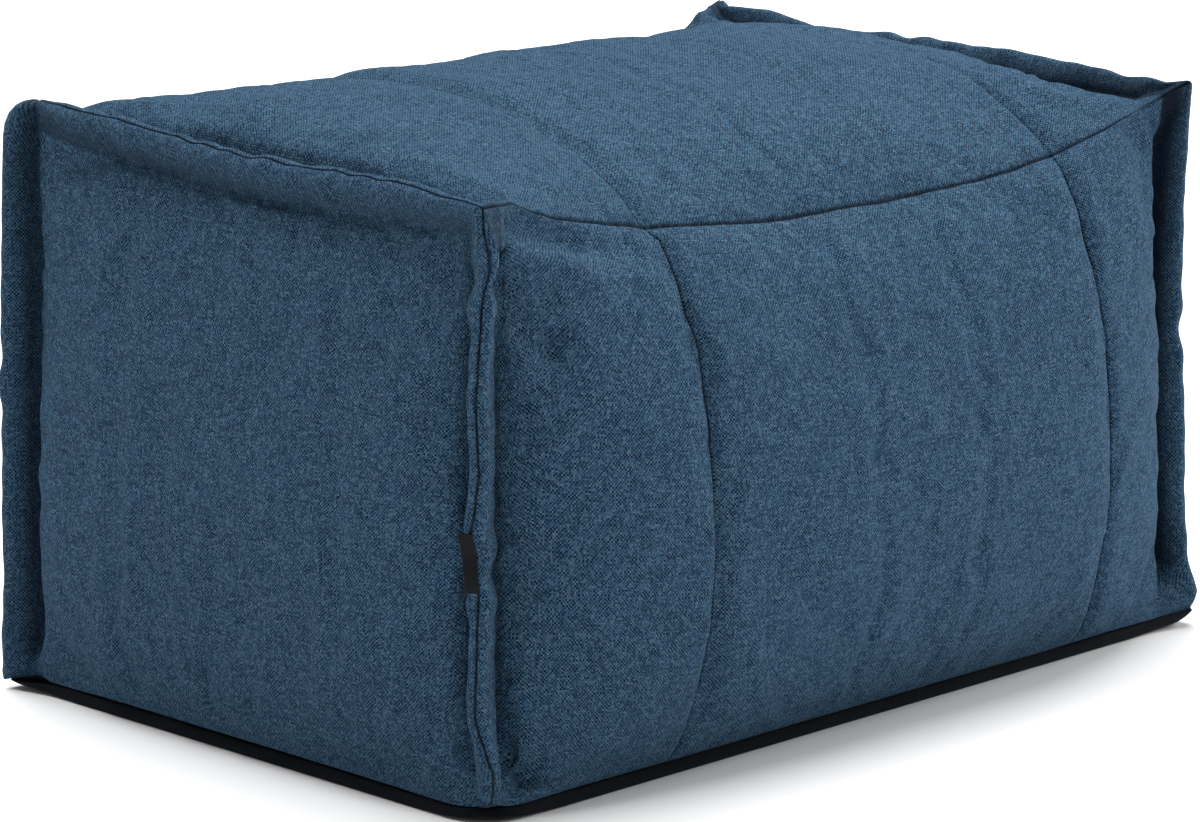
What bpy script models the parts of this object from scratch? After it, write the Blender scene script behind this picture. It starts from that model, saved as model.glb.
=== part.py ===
"""Bean bag footstool: one filled cushion, two flanged end panels, a base panel and a side tab.

Metres, Z up. X runs along the footstool, Y across it, and the origin is on the floor under its middle.
The long sides and the top are sewn from three panels each, so two seams run up the front, over the
top and down the back. The end panels are sewn on with a flange that stands out along three edges.
"""
from collections import namedtuple
from math import cos, pi, radians, sin, sqrt

import bmesh
import bpy
from mathutils import Vector

# Footprint
LENGTH = 0.700
DEPTH = 0.4655
CORNER_RADIUS = 0.040

# Sheets and the gaps between pieces
WALL_THICKNESS = 0.0025
BASE_THICKNESS = 0.0020
BASE_RISE = 0.010
EDGE_ROUNDING = 0.0020
GAP = 0.0003
LAYER_GAP = 0.0005

# Flange around each end panel
FLANGE_WIDTH = 0.0226
SIDE_SPLAY = radians(45)
TOP_SPLAY = radians(28)
CORNER_RISE = 0.50
CORNER_REACH = 0.80
FOOT_REACH = 0.20

# Heights along the top
CORNER_HEIGHT = 0.386
END_SAG = 0.008
EDGE_LOW_HEIGHT = 0.351
EDGE_LOW_X = 0.050
EDGE_POWER = 1.7
CREST_HEIGHT = 0.432
CREST_POWER = 6.0
CREST_ROUNDING_LEFT = 0.5
CREST_ROUNDING_RIGHT = 1.0
CROWN_ROUNDING = 0.62
EAR_PUFF = 0.011
EAR_PUFF_PLACE = 0.93
EAR_PUFF_WIDTH = 0.14
EAR_PUFF_POWER = 1.5

# Fullness of the upright faces
SIDE_BULGE = 0.068
END_BULGE = 0.028
BULGE_ROUNDING = 0.78
EDGE_DRAW_IN_LEFT = 0.016
EDGE_DRAW_IN_RIGHT = 0.001
FACE_POWER = 3.6
FACE_ROUNDING = 0.8
BOW_REACH = 4

# Sewn seams between the panels of the front, the top and the back
SEAMS_X = (-0.177, 0.217)
SEAM_DIP = 0.0035
SEAM_HALF_WIDTH = 0.022
SEAM_SHOULDER = 0.005
SEAM_POWER = 1.5

# Fold-over tab in the flange seam
TAB_HEIGHT = 0.038
TAB_WIDTH = 0.0085
TAB_SEAM_SIDE = 0.0010
TAB_THICKNESS = 0.0012
TAB_CENTRE_HEIGHT = 0.176

# Mesh density
SIDE_STEPS = 13
TOP_STEPS = 14
END_SECTION_STEPS = 8
CENTRE_SECTION_STEPS = 9
FLANGE_FOOT_SHARE = 0.003
BASE_CORNER_STEPS = 8
TAB_FOLD_STEPS = 6
SLOPE_STEP = 0.0001
WELD = 0.00001
PLACE_DIGITS = 6
SHARP_ANGLE = radians(50)

BASE_TOP = BASE_RISE + GAP
LINING = WALL_THICKNESS + GAP
HALF_LENGTH = LENGTH / 2
HALF_DEPTH = DEPTH / 2
ROOT_INSET = FLANGE_WIDTH * sin(SIDE_SPLAY)
ROOT_X = HALF_LENGTH - ROOT_INSET
ROOT_Y = HALF_DEPTH - ROOT_INSET
FOOT_FLARE = ROOT_INSET - CORNER_RADIUS * (1 - sqrt(0.5))
FOOT_X = ROOT_X + FOOT_FLARE
FOOT_Y = ROOT_Y + FOOT_FLARE

FRONT, TOP, BACK = "front", "top", "back"
SIDES = {FRONT: -1, BACK: 1}
UP = Vector((0, 0, 1))

# The four corners differ a little. The lift is added height, the lean turns the flange endwards, the
# foot lean does so near the base only, the bow moves it outwards half way up, the kick moves it
# outwards near the base, and the radius rounds the base panel.
Corner = namedtuple("Corner", "lift lean foot_lean bow kick radius")
CORNERS = {
    (-1, -1): Corner(lift=0.003, lean=radians(10), foot_lean=radians(-32), bow=0.0, kick=0.0, radius=0.038),
    (-1, 1): Corner(lift=0.010, lean=radians(0), foot_lean=radians(0), bow=0.006, kick=0.002, radius=0.010),
    (1, -1): Corner(lift=-0.006, lean=radians(0), foot_lean=radians(0), bow=-0.007, kick=0.004, radius=0.014),
    (1, 1): Corner(lift=0.002, lean=radians(0), foot_lean=radians(0), bow=0.0, kick=0.004, radius=0.014),
}

# A station is a place on the way up the front, over the top and down the back. Its share runs from
# 0 at the base to 1 at the top edge on a side, and from -1 at the front to 1 at the back on the top.
Station = namedtuple("Station", "face share")

# One ring of a flange layer: how far out it lies, and how far from the plane between the layers.
FlangeRing = namedtuple("FlangeRing", "reach offset")
FLANGE_RINGS = (
    FlangeRing(reach=0.00, offset=0.0048),
    FlangeRing(reach=0.30, offset=0.0074),
    FlangeRing(reach=0.70, offset=0.0068),
    FlangeRing(reach=0.92, offset=0.0040),
    FlangeRing(reach=1.00, offset=0.0000),
)


def mix(a, b, share):
    return a + (b - a) * share


def eased(count):
    """Shares from 0 to 1, closer together towards both ends."""
    return [(1 - cos(pi * k / count)) / 2 for k in range(count + 1)]


def footprint_reach(along, half_along, half_across):
    """Half width of the rounded footprint at a distance along it."""
    past = abs(along) - (half_along - CORNER_RADIUS)
    if past <= 0:
        return half_across
    return half_across - CORNER_RADIUS + sqrt(CORNER_RADIUS ** 2 - past ** 2)


def flare(up):
    """Share of the foot's extra size that is left at a share of the height."""
    return (1 - up) ** 2


def fullness(share):
    """How far a filled face stands out at a share of its half width."""
    return max(0.0, 1 - abs(share) ** FACE_POWER) ** FACE_ROUNDING


def bulge_profile(up):
    """Bulge of an upright face at a share of its height."""
    return max(0.0, 4 * up * (1 - up)) ** BULGE_ROUNDING


def seam_dip(x):
    """Depth of the valley that the sewn seams draw into the front, the top and the back."""
    dip = 0.0
    for seam in SEAMS_X:
        closeness = max(0.0, 1 - abs(x - seam) / SEAM_HALF_WIDTH)
        dip += SEAM_DIP * closeness ** SEAM_POWER
    return dip


def corner_height(end, side):
    return CORNER_HEIGHT + CORNERS[end, side].lift


def near_foot(up):
    """Share that falls from 1 at the base to 0 a little way up."""
    return max(0.0, 1 - up / FOOT_REACH) ** 2


def corner_bow(end, side, up, share):
    """Shift outwards, along X and along Y alike, at a share of the way from mid face to a flange."""
    return sqrt(0.5) * CORNERS[end, side].bow * bulge_profile(up) * abs(share) ** BOW_REACH


def ear_puff(along):
    """Extra height of the long edges just inside the flanges, where the cloth bunches at the ears."""
    closeness = max(0.0, 1 - abs(abs(along) - EAR_PUFF_PLACE) / EAR_PUFF_WIDTH)
    return EAR_PUFF * closeness ** EAR_PUFF_POWER


def edge_height(along, side):
    """Height of the long top edges, high at the corners and lowest a little right of the middle."""
    low = EDGE_LOW_X / ROOT_X
    end = 1 if along > low else -1
    rise = (1 - cos(pi * abs((along - low) / (end - low)) ** EDGE_POWER)) / 2
    puff = ear_puff(along) if abs(along) < 1 else 0
    return mix(EDGE_LOW_HEIGHT, corner_height(end, side), rise) + puff


def top_height(along, across):
    """Height of the top at shares of its half length and half width."""
    end = 1 if along > 0 else -1
    end_height = (corner_height(end, -1) + corner_height(end, 1)) / 2 - END_SAG
    rounding = CREST_ROUNDING_RIGHT if along > 0 else CREST_ROUNDING_LEFT
    crest = mix(end_height, CREST_HEIGHT, max(0.0, 1 - abs(along) ** CREST_POWER) ** rounding)
    edge = mix(edge_height(along, -1), edge_height(along, 1), (across + 1) / 2)
    return mix(edge, crest, max(0.0, 1 - across ** 2) ** CROWN_ROUNDING)


def band_point(along, station):
    """Point on the front, the top or the back of the filled cushion."""
    full = fullness(along)
    dip = seam_dip(along * ROOT_X)
    draw_in = mix(EDGE_DRAW_IN_LEFT, EDGE_DRAW_IN_RIGHT, (along + 1) / 2)
    edge_y = ROOT_Y - draw_in * full - dip
    if station.face == TOP:
        return Vector((along * ROOT_X, station.share * edge_y, top_height(along, station.share) - dip))
    side = SIDES[station.face]
    up = station.share
    foot_y = footprint_reach(along * FOOT_X, HALF_LENGTH, HALF_DEPTH)
    end = 1 if along > 0 else -1
    bow = corner_bow(end, side, up, along)
    x = along * (ROOT_X + FOOT_FLARE * flare(up)) + end * bow
    y = mix(edge_y, foot_y, flare(up)) + (SIDE_BULGE * full - dip) * bulge_profile(up) + bow
    return Vector((x, side * y, mix(BASE_TOP, edge_height(along, side) - dip, up)))


def end_point(end, across, up):
    """Point on the outside of an end panel, at shares of its half width and of its height."""
    side = 1 if across > 0 else -1
    bow = corner_bow(end, side, up, across)
    y = across * (ROOT_Y + FOOT_FLARE * flare(up)) + side * bow
    foot_x = footprint_reach(across * FOOT_Y, HALF_DEPTH, HALF_LENGTH)
    x = mix(ROOT_X, foot_x, flare(up)) + END_BULGE * fullness(across) * bulge_profile(up) + bow
    return Vector((end * x, y, mix(BASE_TOP, top_height(end, across), up)))


def end_normal(end, across, up):
    """Outward direction of an end face; level at its lower edge, where it meets the base."""
    low = min(up, 1 - SLOPE_STEP)
    upward = end_point(end, across, low + SLOPE_STEP) - end_point(end, across, low)
    sideways = end_point(end, across + SLOPE_STEP, up) - end_point(end, across - SLOPE_STEP, up)
    normal = sideways.cross(upward) * end
    if up == 0:
        normal.z = 0
    return normal.normalized()


def stations():
    side_shares = [0.0, FLANGE_FOOT_SHARE] + eased(SIDE_STEPS)[1:]
    top_shares = [2 * share - 1 for share in eased(TOP_STEPS)]
    front = [Station(FRONT, share) for share in side_shares]
    top = [Station(TOP, share) for share in top_shares[1:-1]]
    back = [Station(BACK, share) for share in reversed(side_shares)]
    return side_shares, top_shares, front + top + back


def columns():
    """Shares along X, close together at the flanges and on both sides of each seam."""
    seams = [seam / ROOT_X for seam in SEAMS_X]
    shoulder = SEAM_SHOULDER / ROOT_X
    towards_end = [2 * share for share in eased(2 * END_SECTION_STEPS)[1:END_SECTION_STEPS]]
    left = [mix(-1, seams[0] - shoulder, share) for share in towards_end]
    right = [mix(1, seams[1] + shoulder, share) for share in reversed(towards_end)]
    centre = [mix(seams[0] + shoulder, seams[1] - shoulder, step / CENTRE_SECTION_STEPS)
              for step in range(1, CENTRE_SECTION_STEPS)]
    beside = [[seam - shoulder, seam, seam + shoulder] for seam in seams]
    return left + beside[0] + centre + beside[1] + right


SIDE_SHARES, TOP_SHARES, STATIONS = stations()
COLUMNS = columns()


def flange_frame(end, station):
    """Root of a flange, its outward vector, the direction to the cushion's layer and its inner edge."""
    top_out = Vector((end * sin(TOP_SPLAY), 0, cos(TOP_SPLAY)))
    top_in = Vector((-end * cos(TOP_SPLAY), 0, sin(TOP_SPLAY)))
    if station.face == TOP:
        root = Vector((end * ROOT_X, station.share * ROOT_Y, top_height(end, station.share)))
        return root, top_out * FLANGE_WIDTH, top_in, root - top_out * LINING
    side = SIDES[station.face]
    up = station.share
    splay = SIDE_SPLAY + CORNERS[end, side].lean + CORNERS[end, side].foot_lean * near_foot(up)
    side_out = Vector((end * sin(splay), side * cos(splay), 0))
    side_in = Vector((-end * cos(splay), side * sin(splay), 0))
    diagonal = Vector((end, side, 0)).normalized()
    root = Vector((end * ROOT_X, side * ROOT_Y, mix(BASE_TOP, corner_height(end, side), up)))
    root += diagonal * ((FOOT_FLARE * flare(up) + corner_bow(end, side, up, 1)) * sqrt(2))
    root += diagonal * (CORNERS[end, side].kick * near_foot(up))
    if up < 1:
        return root, side_out * FLANGE_WIDTH, side_in, root - diagonal * LINING
    reach = (side_out + Vector((top_out.x, side_out.y, 0))) / 2 * CORNER_REACH
    out = Vector((reach.x, reach.y, CORNER_RISE))
    return root, out * FLANGE_WIDTH, (side_in + top_in).normalized(), root - out * LINING


def flange_rings(end, layer):
    """Rings of one flange layer, from its groove to its tip and back to the plane between the layers.

    The layer is 1 for the one on the cushion's side and -1 for the one on the end panel.
    """
    rings = [[] for _ in range(len(FLANGE_RINGS) + 1)]
    shift = Vector((end * LAYER_GAP if layer < 0 else 0, 0, 0))
    for station in STATIONS:
        root, outward, inward, inner_edge = flange_frame(end, station)
        at_foot = station.face != TOP and station.share == 0
        for ring, shape in zip(rings, FLANGE_RINGS):
            place = outward * shape.reach + inward * (layer * shape.offset)
            ring.append(root + shift + (Vector() if at_foot else place))
        rings[-1].append(inner_edge + shift)
    return rings


def end_grid(end, depth):
    """Rows of points at a depth under the outside of an end panel, without the flanged border."""
    return [[end_point(end, across, up) - end_normal(end, across, up) * depth
             for across in TOP_SHARES[1:-1]] for up in SIDE_SHARES]


def framed_grid(border, inside):
    """Rows of an end face: its inside points with the border ring of the three flanged edges."""
    last = len(SIDE_SHARES) - 1
    back = len(border) - 1
    rows = [[border[row]] + inside[row] + [border[back - row]] for row in range(last)]
    rows.append(border[last:back - last + 1])
    return rows


def inset_footprint(x, y, depth, height):
    """A point of the footprint moved inwards, square to its edge, at a height."""
    core_x = HALF_LENGTH - CORNER_RADIUS
    core_y = HALF_DEPTH - CORNER_RADIUS
    nearest = Vector((max(-core_x, min(core_x, x)), max(-core_y, min(core_y, y))))
    outward = (Vector((x, y)) - nearest).normalized()
    return Vector((x - outward.x * depth, y - outward.y * depth, height))


def footprint_side(side, depth, height):
    """Front or back edge of the cushion's foot, with a point at each column and at both flange roots."""
    xs = [along * FOOT_X for along in [-1] + COLUMNS + [1]]
    return [inset_footprint(x, side * footprint_reach(x, HALF_LENGTH, HALF_DEPTH), depth, height)
            for x in xs]


def base_ring(depth, height):
    """Outline of the base panel, moved inwards by a depth, at a height."""
    ring = []
    for quarter, (end, side) in enumerate(((1, 1), (-1, 1), (-1, -1), (1, -1))):
        radius = CORNERS[end, side].radius
        for step in range(BASE_CORNER_STEPS + 1):
            turn = (quarter + step / BASE_CORNER_STEPS) * pi / 2
            x = end * (HALF_LENGTH - radius) + (radius - depth) * cos(turn)
            y = side * (HALF_DEPTH - radius) + (radius - depth) * sin(turn)
            ring.append(Vector((x, y, height)))
    return ring


def closed(ring):
    return ring + ring[:1]


class Shell:
    """A mesh under construction that reuses the vertex at a place that is already taken."""

    def __init__(self):
        self.mesh = bmesh.new()
        self.places = {}

    def vertex(self, point):
        key = tuple(round(value, PLACE_DIGITS) for value in point)
        if key not in self.places:
            self.places[key] = self.mesh.verts.new(point)
        return self.places[key]

    def face(self, points):
        corners = []
        for point in points:
            corner = self.vertex(point)
            if corner not in corners:
                corners.append(corner)
        if len(corners) > 2:
            self.mesh.faces.new(corners)

    def strip(self, first, second):
        """Faces between two rows of points, all split the same way so that layers stay parallel."""
        for k in range(len(first) - 1):
            self.face((first[k], first[k + 1], second[k + 1]))
            self.face((first[k], second[k + 1], second[k]))

    def strips(self, rows):
        for first, second in zip(rows, rows[1:]):
            self.strip(first, second)

    def finish(self, name, material, parent):
        bmesh.ops.remove_doubles(self.mesh, verts=self.mesh.verts, dist=WELD)
        bmesh.ops.recalc_face_normals(self.mesh, faces=self.mesh.faces)
        data = bpy.data.meshes.new(name)
        self.mesh.to_mesh(data)
        self.mesh.free()
        data.materials.append(material)
        data.shade_smooth()
        data.set_sharp_from_angle(angle=SHARP_ANGLE)
        piece = bpy.data.objects.new(name, data)
        piece.parent = parent
        bpy.context.scene.collection.objects.link(piece)
        return piece


def build_filled_body(material, parent):
    """The filled cushion: front, top and back in one, with the cushion's layer of both flanges."""
    shell = Shell()
    left = flange_rings(-1, 1)
    right = flange_rings(1, 1)
    band = [[band_point(along, station) for station in STATIONS] for along in COLUMNS]
    shell.strips(left)
    shell.strips([left[0]] + band + [right[0]])
    shell.strips(right)
    left_cap = framed_grid(left[-1], end_grid(-1, LINING))
    right_cap = framed_grid(right[-1], end_grid(1, LINING))
    shell.strips(left_cap)
    shell.strips(right_cap)
    front_step = left_cap[0][:1] + footprint_side(-1, LINING, BASE_TOP)[1:-1] + right_cap[0][:1]
    back_step = left_cap[0][-1:] + footprint_side(1, LINING, BASE_TOP)[1:-1] + right_cap[0][-1:]
    shell.strip([row[0] for row in [left[0]] + band + [right[0]]], front_step)
    shell.strip([row[-1] for row in [left[0]] + band + [right[0]]], back_step)
    rim = front_step + right_cap[0][1:-1] + back_step[::-1] + left_cap[0][1:-1][::-1]
    floor = [Vector((point.x, point.y, BASE_THICKNESS + GAP)) for point in rim]
    shell.strip(closed(rim), closed(floor))
    shell.face(floor)
    return shell.finish("filled_body", material, parent)


def build_end_panel(name, end, material, parent):
    """A crowned sheet over one end of the cushion, with the outer layer of its flange."""
    shell = Shell()
    rings = flange_rings(end, -1)
    outside = framed_grid(rings[0], end_grid(end, 0))
    inside = framed_grid(rings[-1], end_grid(end, WALL_THICKNESS))
    shell.strips(outside)
    shell.strips(rings)
    shell.strips(inside)
    shell.strip(outside[0], inside[0])
    return shell.finish(name, material, parent)


def build_base_panel(material, parent):
    """The base: a flat sheet whose edge turns up around the foot of the cushion."""
    shell = Shell()
    half_round = EDGE_ROUNDING * (1 - sqrt(0.5))
    rings = [
        base_ring(WALL_THICKNESS, BASE_THICKNESS),
        base_ring(WALL_THICKNESS, BASE_RISE),
        base_ring(0, BASE_RISE),
        base_ring(0, EDGE_ROUNDING),
        base_ring(half_round, half_round),
        base_ring(EDGE_ROUNDING, 0),
    ]
    shell.strips([closed(ring) for ring in rings])
    shell.face(rings[0])
    shell.face(rings[-1])
    return shell.finish("base_panel", material, parent)


def tab_seat():
    """Tip of the near left flange at the tab's height, and the flange's outward direction."""
    up = (TAB_CENTRE_HEIGHT - BASE_TOP) / (corner_height(-1, -1) - BASE_TOP)
    root, outward, _, _ = flange_frame(-1, Station(FRONT, up))
    return root + outward - Vector((LAYER_GAP, 0, 0)), outward.normalized()


def build_side_tab(material, parent):
    """A folded strip that stands out of the flange seam at the front left corner."""
    tip, outward = tab_seat()
    aside = UP.cross(outward).normalized() * -1
    radius = TAB_THICKNESS / 2
    outline = [(-TAB_SEAM_SIDE, 0.0), (-TAB_SEAM_SIDE, TAB_THICKNESS)]
    for step in range(TAB_FOLD_STEPS + 1):
        turn = pi / 2 - pi * step / TAB_FOLD_STEPS
        outline.append((TAB_WIDTH - radius + radius * cos(turn), radius + radius * sin(turn)))
    shell = Shell()
    ends = []
    for height in (-TAB_HEIGHT / 2, TAB_HEIGHT / 2):
        seat = tip + outward * GAP + UP * height
        ends.append([seat + aside * x + outward * y for x, y in outline])
    shell.strip(closed(ends[0]), closed(ends[1]))
    shell.face(ends[0])
    shell.face(ends[1])
    return shell.finish("side_tab", material, parent)


def plain_material(name, colour, roughness):
    material = bpy.data.materials.new(name)
    material.use_nodes = True
    shader = material.node_tree.nodes["Principled BSDF"]
    shader.inputs["Base Color"].default_value = (*colour, 1)
    shader.inputs["Roughness"].default_value = roughness
    shader.inputs["Metallic"].default_value = 0
    return material


def main():
    for item in list(bpy.data.objects):
        bpy.data.objects.remove(item, do_unlink=True)
    footstool = bpy.data.objects.new("footstool", None)
    bpy.context.scene.collection.objects.link(footstool)
    blue_cloth = plain_material("blue_cloth", colour=(0.040, 0.095, 0.160), roughness=0.85)
    black_cloth = plain_material("black_cloth", colour=(0.008, 0.009, 0.011), roughness=0.90)
    black_ribbon = plain_material("black_ribbon", colour=(0.010, 0.010, 0.011), roughness=0.60)
    build_filled_body(blue_cloth, footstool)
    build_end_panel("end_panel_left", -1, blue_cloth, footstool)
    build_end_panel("end_panel_right", 1, blue_cloth, footstool)
    build_base_panel(black_cloth, footstool)
    build_side_tab(black_ribbon, footstool)


main()
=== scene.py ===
from collections import namedtuple
from math import cos, pi, radians, sin, sqrt

import bmesh
import bpy
import numpy as np
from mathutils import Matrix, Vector


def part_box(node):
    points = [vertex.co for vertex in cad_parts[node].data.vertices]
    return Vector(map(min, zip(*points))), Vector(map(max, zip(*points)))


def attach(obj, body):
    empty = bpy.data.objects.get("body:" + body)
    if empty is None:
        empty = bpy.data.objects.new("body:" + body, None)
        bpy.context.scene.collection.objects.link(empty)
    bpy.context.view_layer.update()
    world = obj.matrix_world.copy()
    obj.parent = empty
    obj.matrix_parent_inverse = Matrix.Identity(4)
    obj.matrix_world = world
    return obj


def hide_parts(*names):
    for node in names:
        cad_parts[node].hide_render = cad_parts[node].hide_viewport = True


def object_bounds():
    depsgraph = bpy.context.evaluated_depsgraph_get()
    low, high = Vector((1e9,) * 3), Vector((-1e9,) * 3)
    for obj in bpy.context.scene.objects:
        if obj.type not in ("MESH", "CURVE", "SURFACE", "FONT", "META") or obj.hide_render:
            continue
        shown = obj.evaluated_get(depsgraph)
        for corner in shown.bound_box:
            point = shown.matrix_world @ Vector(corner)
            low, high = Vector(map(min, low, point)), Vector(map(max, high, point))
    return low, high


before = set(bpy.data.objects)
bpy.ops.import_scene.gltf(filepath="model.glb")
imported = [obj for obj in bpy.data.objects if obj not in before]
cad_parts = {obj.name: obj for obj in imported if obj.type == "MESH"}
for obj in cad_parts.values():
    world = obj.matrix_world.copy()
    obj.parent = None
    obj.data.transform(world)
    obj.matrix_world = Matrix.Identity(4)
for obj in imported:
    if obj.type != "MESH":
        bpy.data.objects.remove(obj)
cad_low, cad_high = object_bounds()

# ----- Driving dimensions, in metres and radians. X runs along the footstool, Y across it, Z up. -----
_, base_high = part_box("base_panel")
HALF_LENGTH = base_high.x
HALF_DEPTH = base_high.y
BASE_RISE = base_high.z
CUSHION_FOOT = BASE_RISE + 0.0003

# Flange round each end panel
FLANGE_WIDTH = 0.0226
SIDE_SPLAY = radians(45)
TOP_SPLAY = radians(28)
SIDE_FAN = 0.034
TOP_FAN = 0.040
FOOT_RADIUS = 0.040
FOOT_REACH = 0.20

# Heights along the top. A pair holds the left and the right end's value.
CORNER_HEIGHT = 0.386
END_SAG = (0.008, 0.0055)
EDGE_LOW_HEIGHT = 0.351
EDGE_LOW_X = 0.050
EDGE_POWER = 1.7
CREST_HEIGHT = cad_high.z
CREST_POWER = (6.0, 4.0)
CREST_ROUNDING = (0.40, 1.0)
CROWN_ROUNDING = 0.62
CROWN_EASE = 0.04

# Added height of the back half of the top, at shares of the half length
TOP_SWELL = (
    (-1.0, 0.0050), (-0.9, 0.0020), (-0.8, 0.0024), (-0.65, 0.0016), (-0.5, 0.0022), (-0.28, 0.0032),
    (-0.1, 0.0036), (0.05, 0.0015), (0.16, -0.0018), (0.28, -0.0065), (0.36, -0.0060), (0.45, -0.0010),
)
TOP_SWELL_PLACE = 0.55
TOP_SWELL_WIDTH = 0.35
SWELL_FADE = 0.1
EAR_PUFF_WIDTH = 0.14
EAR_PUFF_POWER = 1.5

# Fullness of the upright faces
SIDE_BULGE = 0.068
END_BULGE = 0.028
BULGE_ROUNDING = 0.78
EDGE_DRAW_IN = (0.016, 0.001)
FACE_POWER = 3.6
FACE_ROUNDING = 0.8
BOW_REACH = 4

# Sewn seams
SEAMS_X = (-0.177, 0.217)
VALLEY_DEPTH = 0.0020
VALLEY_HALF_WIDTH = 0.022
VALLEY_POWER = 1.5
GROOVE_DEPTH = 0.0011
GROOVE_HALF_WIDTH = 0.0007
SHOULDER_DEPTH = 0.0005
SHOULDER_WIDTH = 0.0035
# The seams' painted shadow: its width, how much wider it is near the ears, and how far from the flange's root
# that widening reaches
SEAM_SHADOW_WIDTH = 0.0006
EAR_SEAM_WIDENING = 1.2
EAR_SEAM_REACH = 0.10

# How far each seam strays from its straight line at places along the cover from the foot of the front,
# over the top, to the foot of the back, in millimetres
SEAM_STRAY = (
    ((0, -6), (150, -3), (372, 5), (378, 5), (388, -3), (500, -6), (700, -2), (800, 3), (815, -2), (1190, 3)),
    ((0, 1), (200, 3), (376, 0), (390, -1), (600, 2), (800, 0), (815, 4), (1190, -2)),
)
SEAM_STRAY_REACH = 0.040
SEAM_WANDER = (0.0005, 0.07)

# Roundings where the flanges leave the cushion
GROOVE_ROUNDING = 0.0035
TOP_GROOVE_ROUNDING = 0.0070
END_TOP_ROUNDING = 0.0055
EAR_ROUNDING = 0.0060
FOOT_ROUNDING = 0.0130
FOOT_ROUNDING_REACH = 0.034
EAR_REACH = 0.026
ROOT_FADE = 0.018
DROP_HEIGHT = 0.030
DEEP_REACH = 0.120

# The groove starts above the base and deepens on its way up. A web fades over a share of its reach and ends
# short of the flange's tip. Where a corner has no point above its root, the tip takes this share of its way
# to the top instead.
DEEP_START = 0.008
DEEP_RISE = 0.030
WEB_FADE = 0.15
TIP_MARGIN = 0.001
LOW_EAR_SHARE = 0.4

# Mesh density, and the thickness and spacing of the layers
FINE_STEP = 0.0004
COARSE_STEP = 0.0038
STEP_GROWTH = 1.35
FLANGE_STEPS = 22
FLANGE_GATHER = 1.5
SHEET_THICKNESS = 0.0025
LAYER_GAP = 0.0002
LINING_REACH = (0.0190, 0.0110, 0.0030, -0.0030)
LINING_OFFSET = 0.0001
SHEET_FADE = 0.010
WELD_DISTANCE = 0.00003
SPLINE_STEP = 0.05
BEND_POINTS = 33

# Stands for the place along the footstool of what lies on its flanges
OFF_BAND = 9.0

# Painted shade in the grooves, and painted shadow along the seam at the flanges' tips from the outermost ring
# inwards
FLANGE_SHADE_REACH = 0.0300
PANEL_SHADE_REACH = 0.0060
TOP_SHADE = 0.8
TOP_SHADE_REACH = 0.03
TOP_SHADE_BLEND = 0.2
SHADE_FADE = 0.018
TIP_SHADE = (0.9, 0.9, 0.35)

ROOT_INSET = FLANGE_WIDTH * sin(SIDE_SPLAY)
ROOT_X = HALF_LENGTH - ROOT_INSET
ROOT_Y = HALF_DEPTH - ROOT_INSET
FOOT_FLARE = ROOT_INSET - FOOT_RADIUS * (1 - sqrt(0.5))
FOOT_X = ROOT_X + FOOT_FLARE
FOOT_Y = ROOT_Y + FOOT_FLARE

# Width of the left back and of the right front flange, as shares of the full width at heights up the side
LEFT_WIDTH = (
    (0.0105, 1.06), (0.016, 1.16), (0.026, 1.20), (0.040, 1.13), (0.055, 1.08), (0.075, 1.03), (0.120, 1.05),
    (0.160, 0.99), (0.200, 1.03), (0.280, 1.00), (0.386, 1.03),
)
RIGHT_WIDTH = (
    (0.0105, 0.72), (0.013, 0.82), (0.017, 0.98), (0.024, 1.085), (0.030, 1.01), (0.038, 0.97), (0.055, 0.97),
    (0.070, 1.03), (0.090, 1.03), (0.120, 1.075), (0.160, 1.135), (0.200, 1.03), (0.240, 0.97), (0.280, 0.98),
    (0.310, 0.89), (0.350, 0.86), (0.386, 0.86),
)

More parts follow.
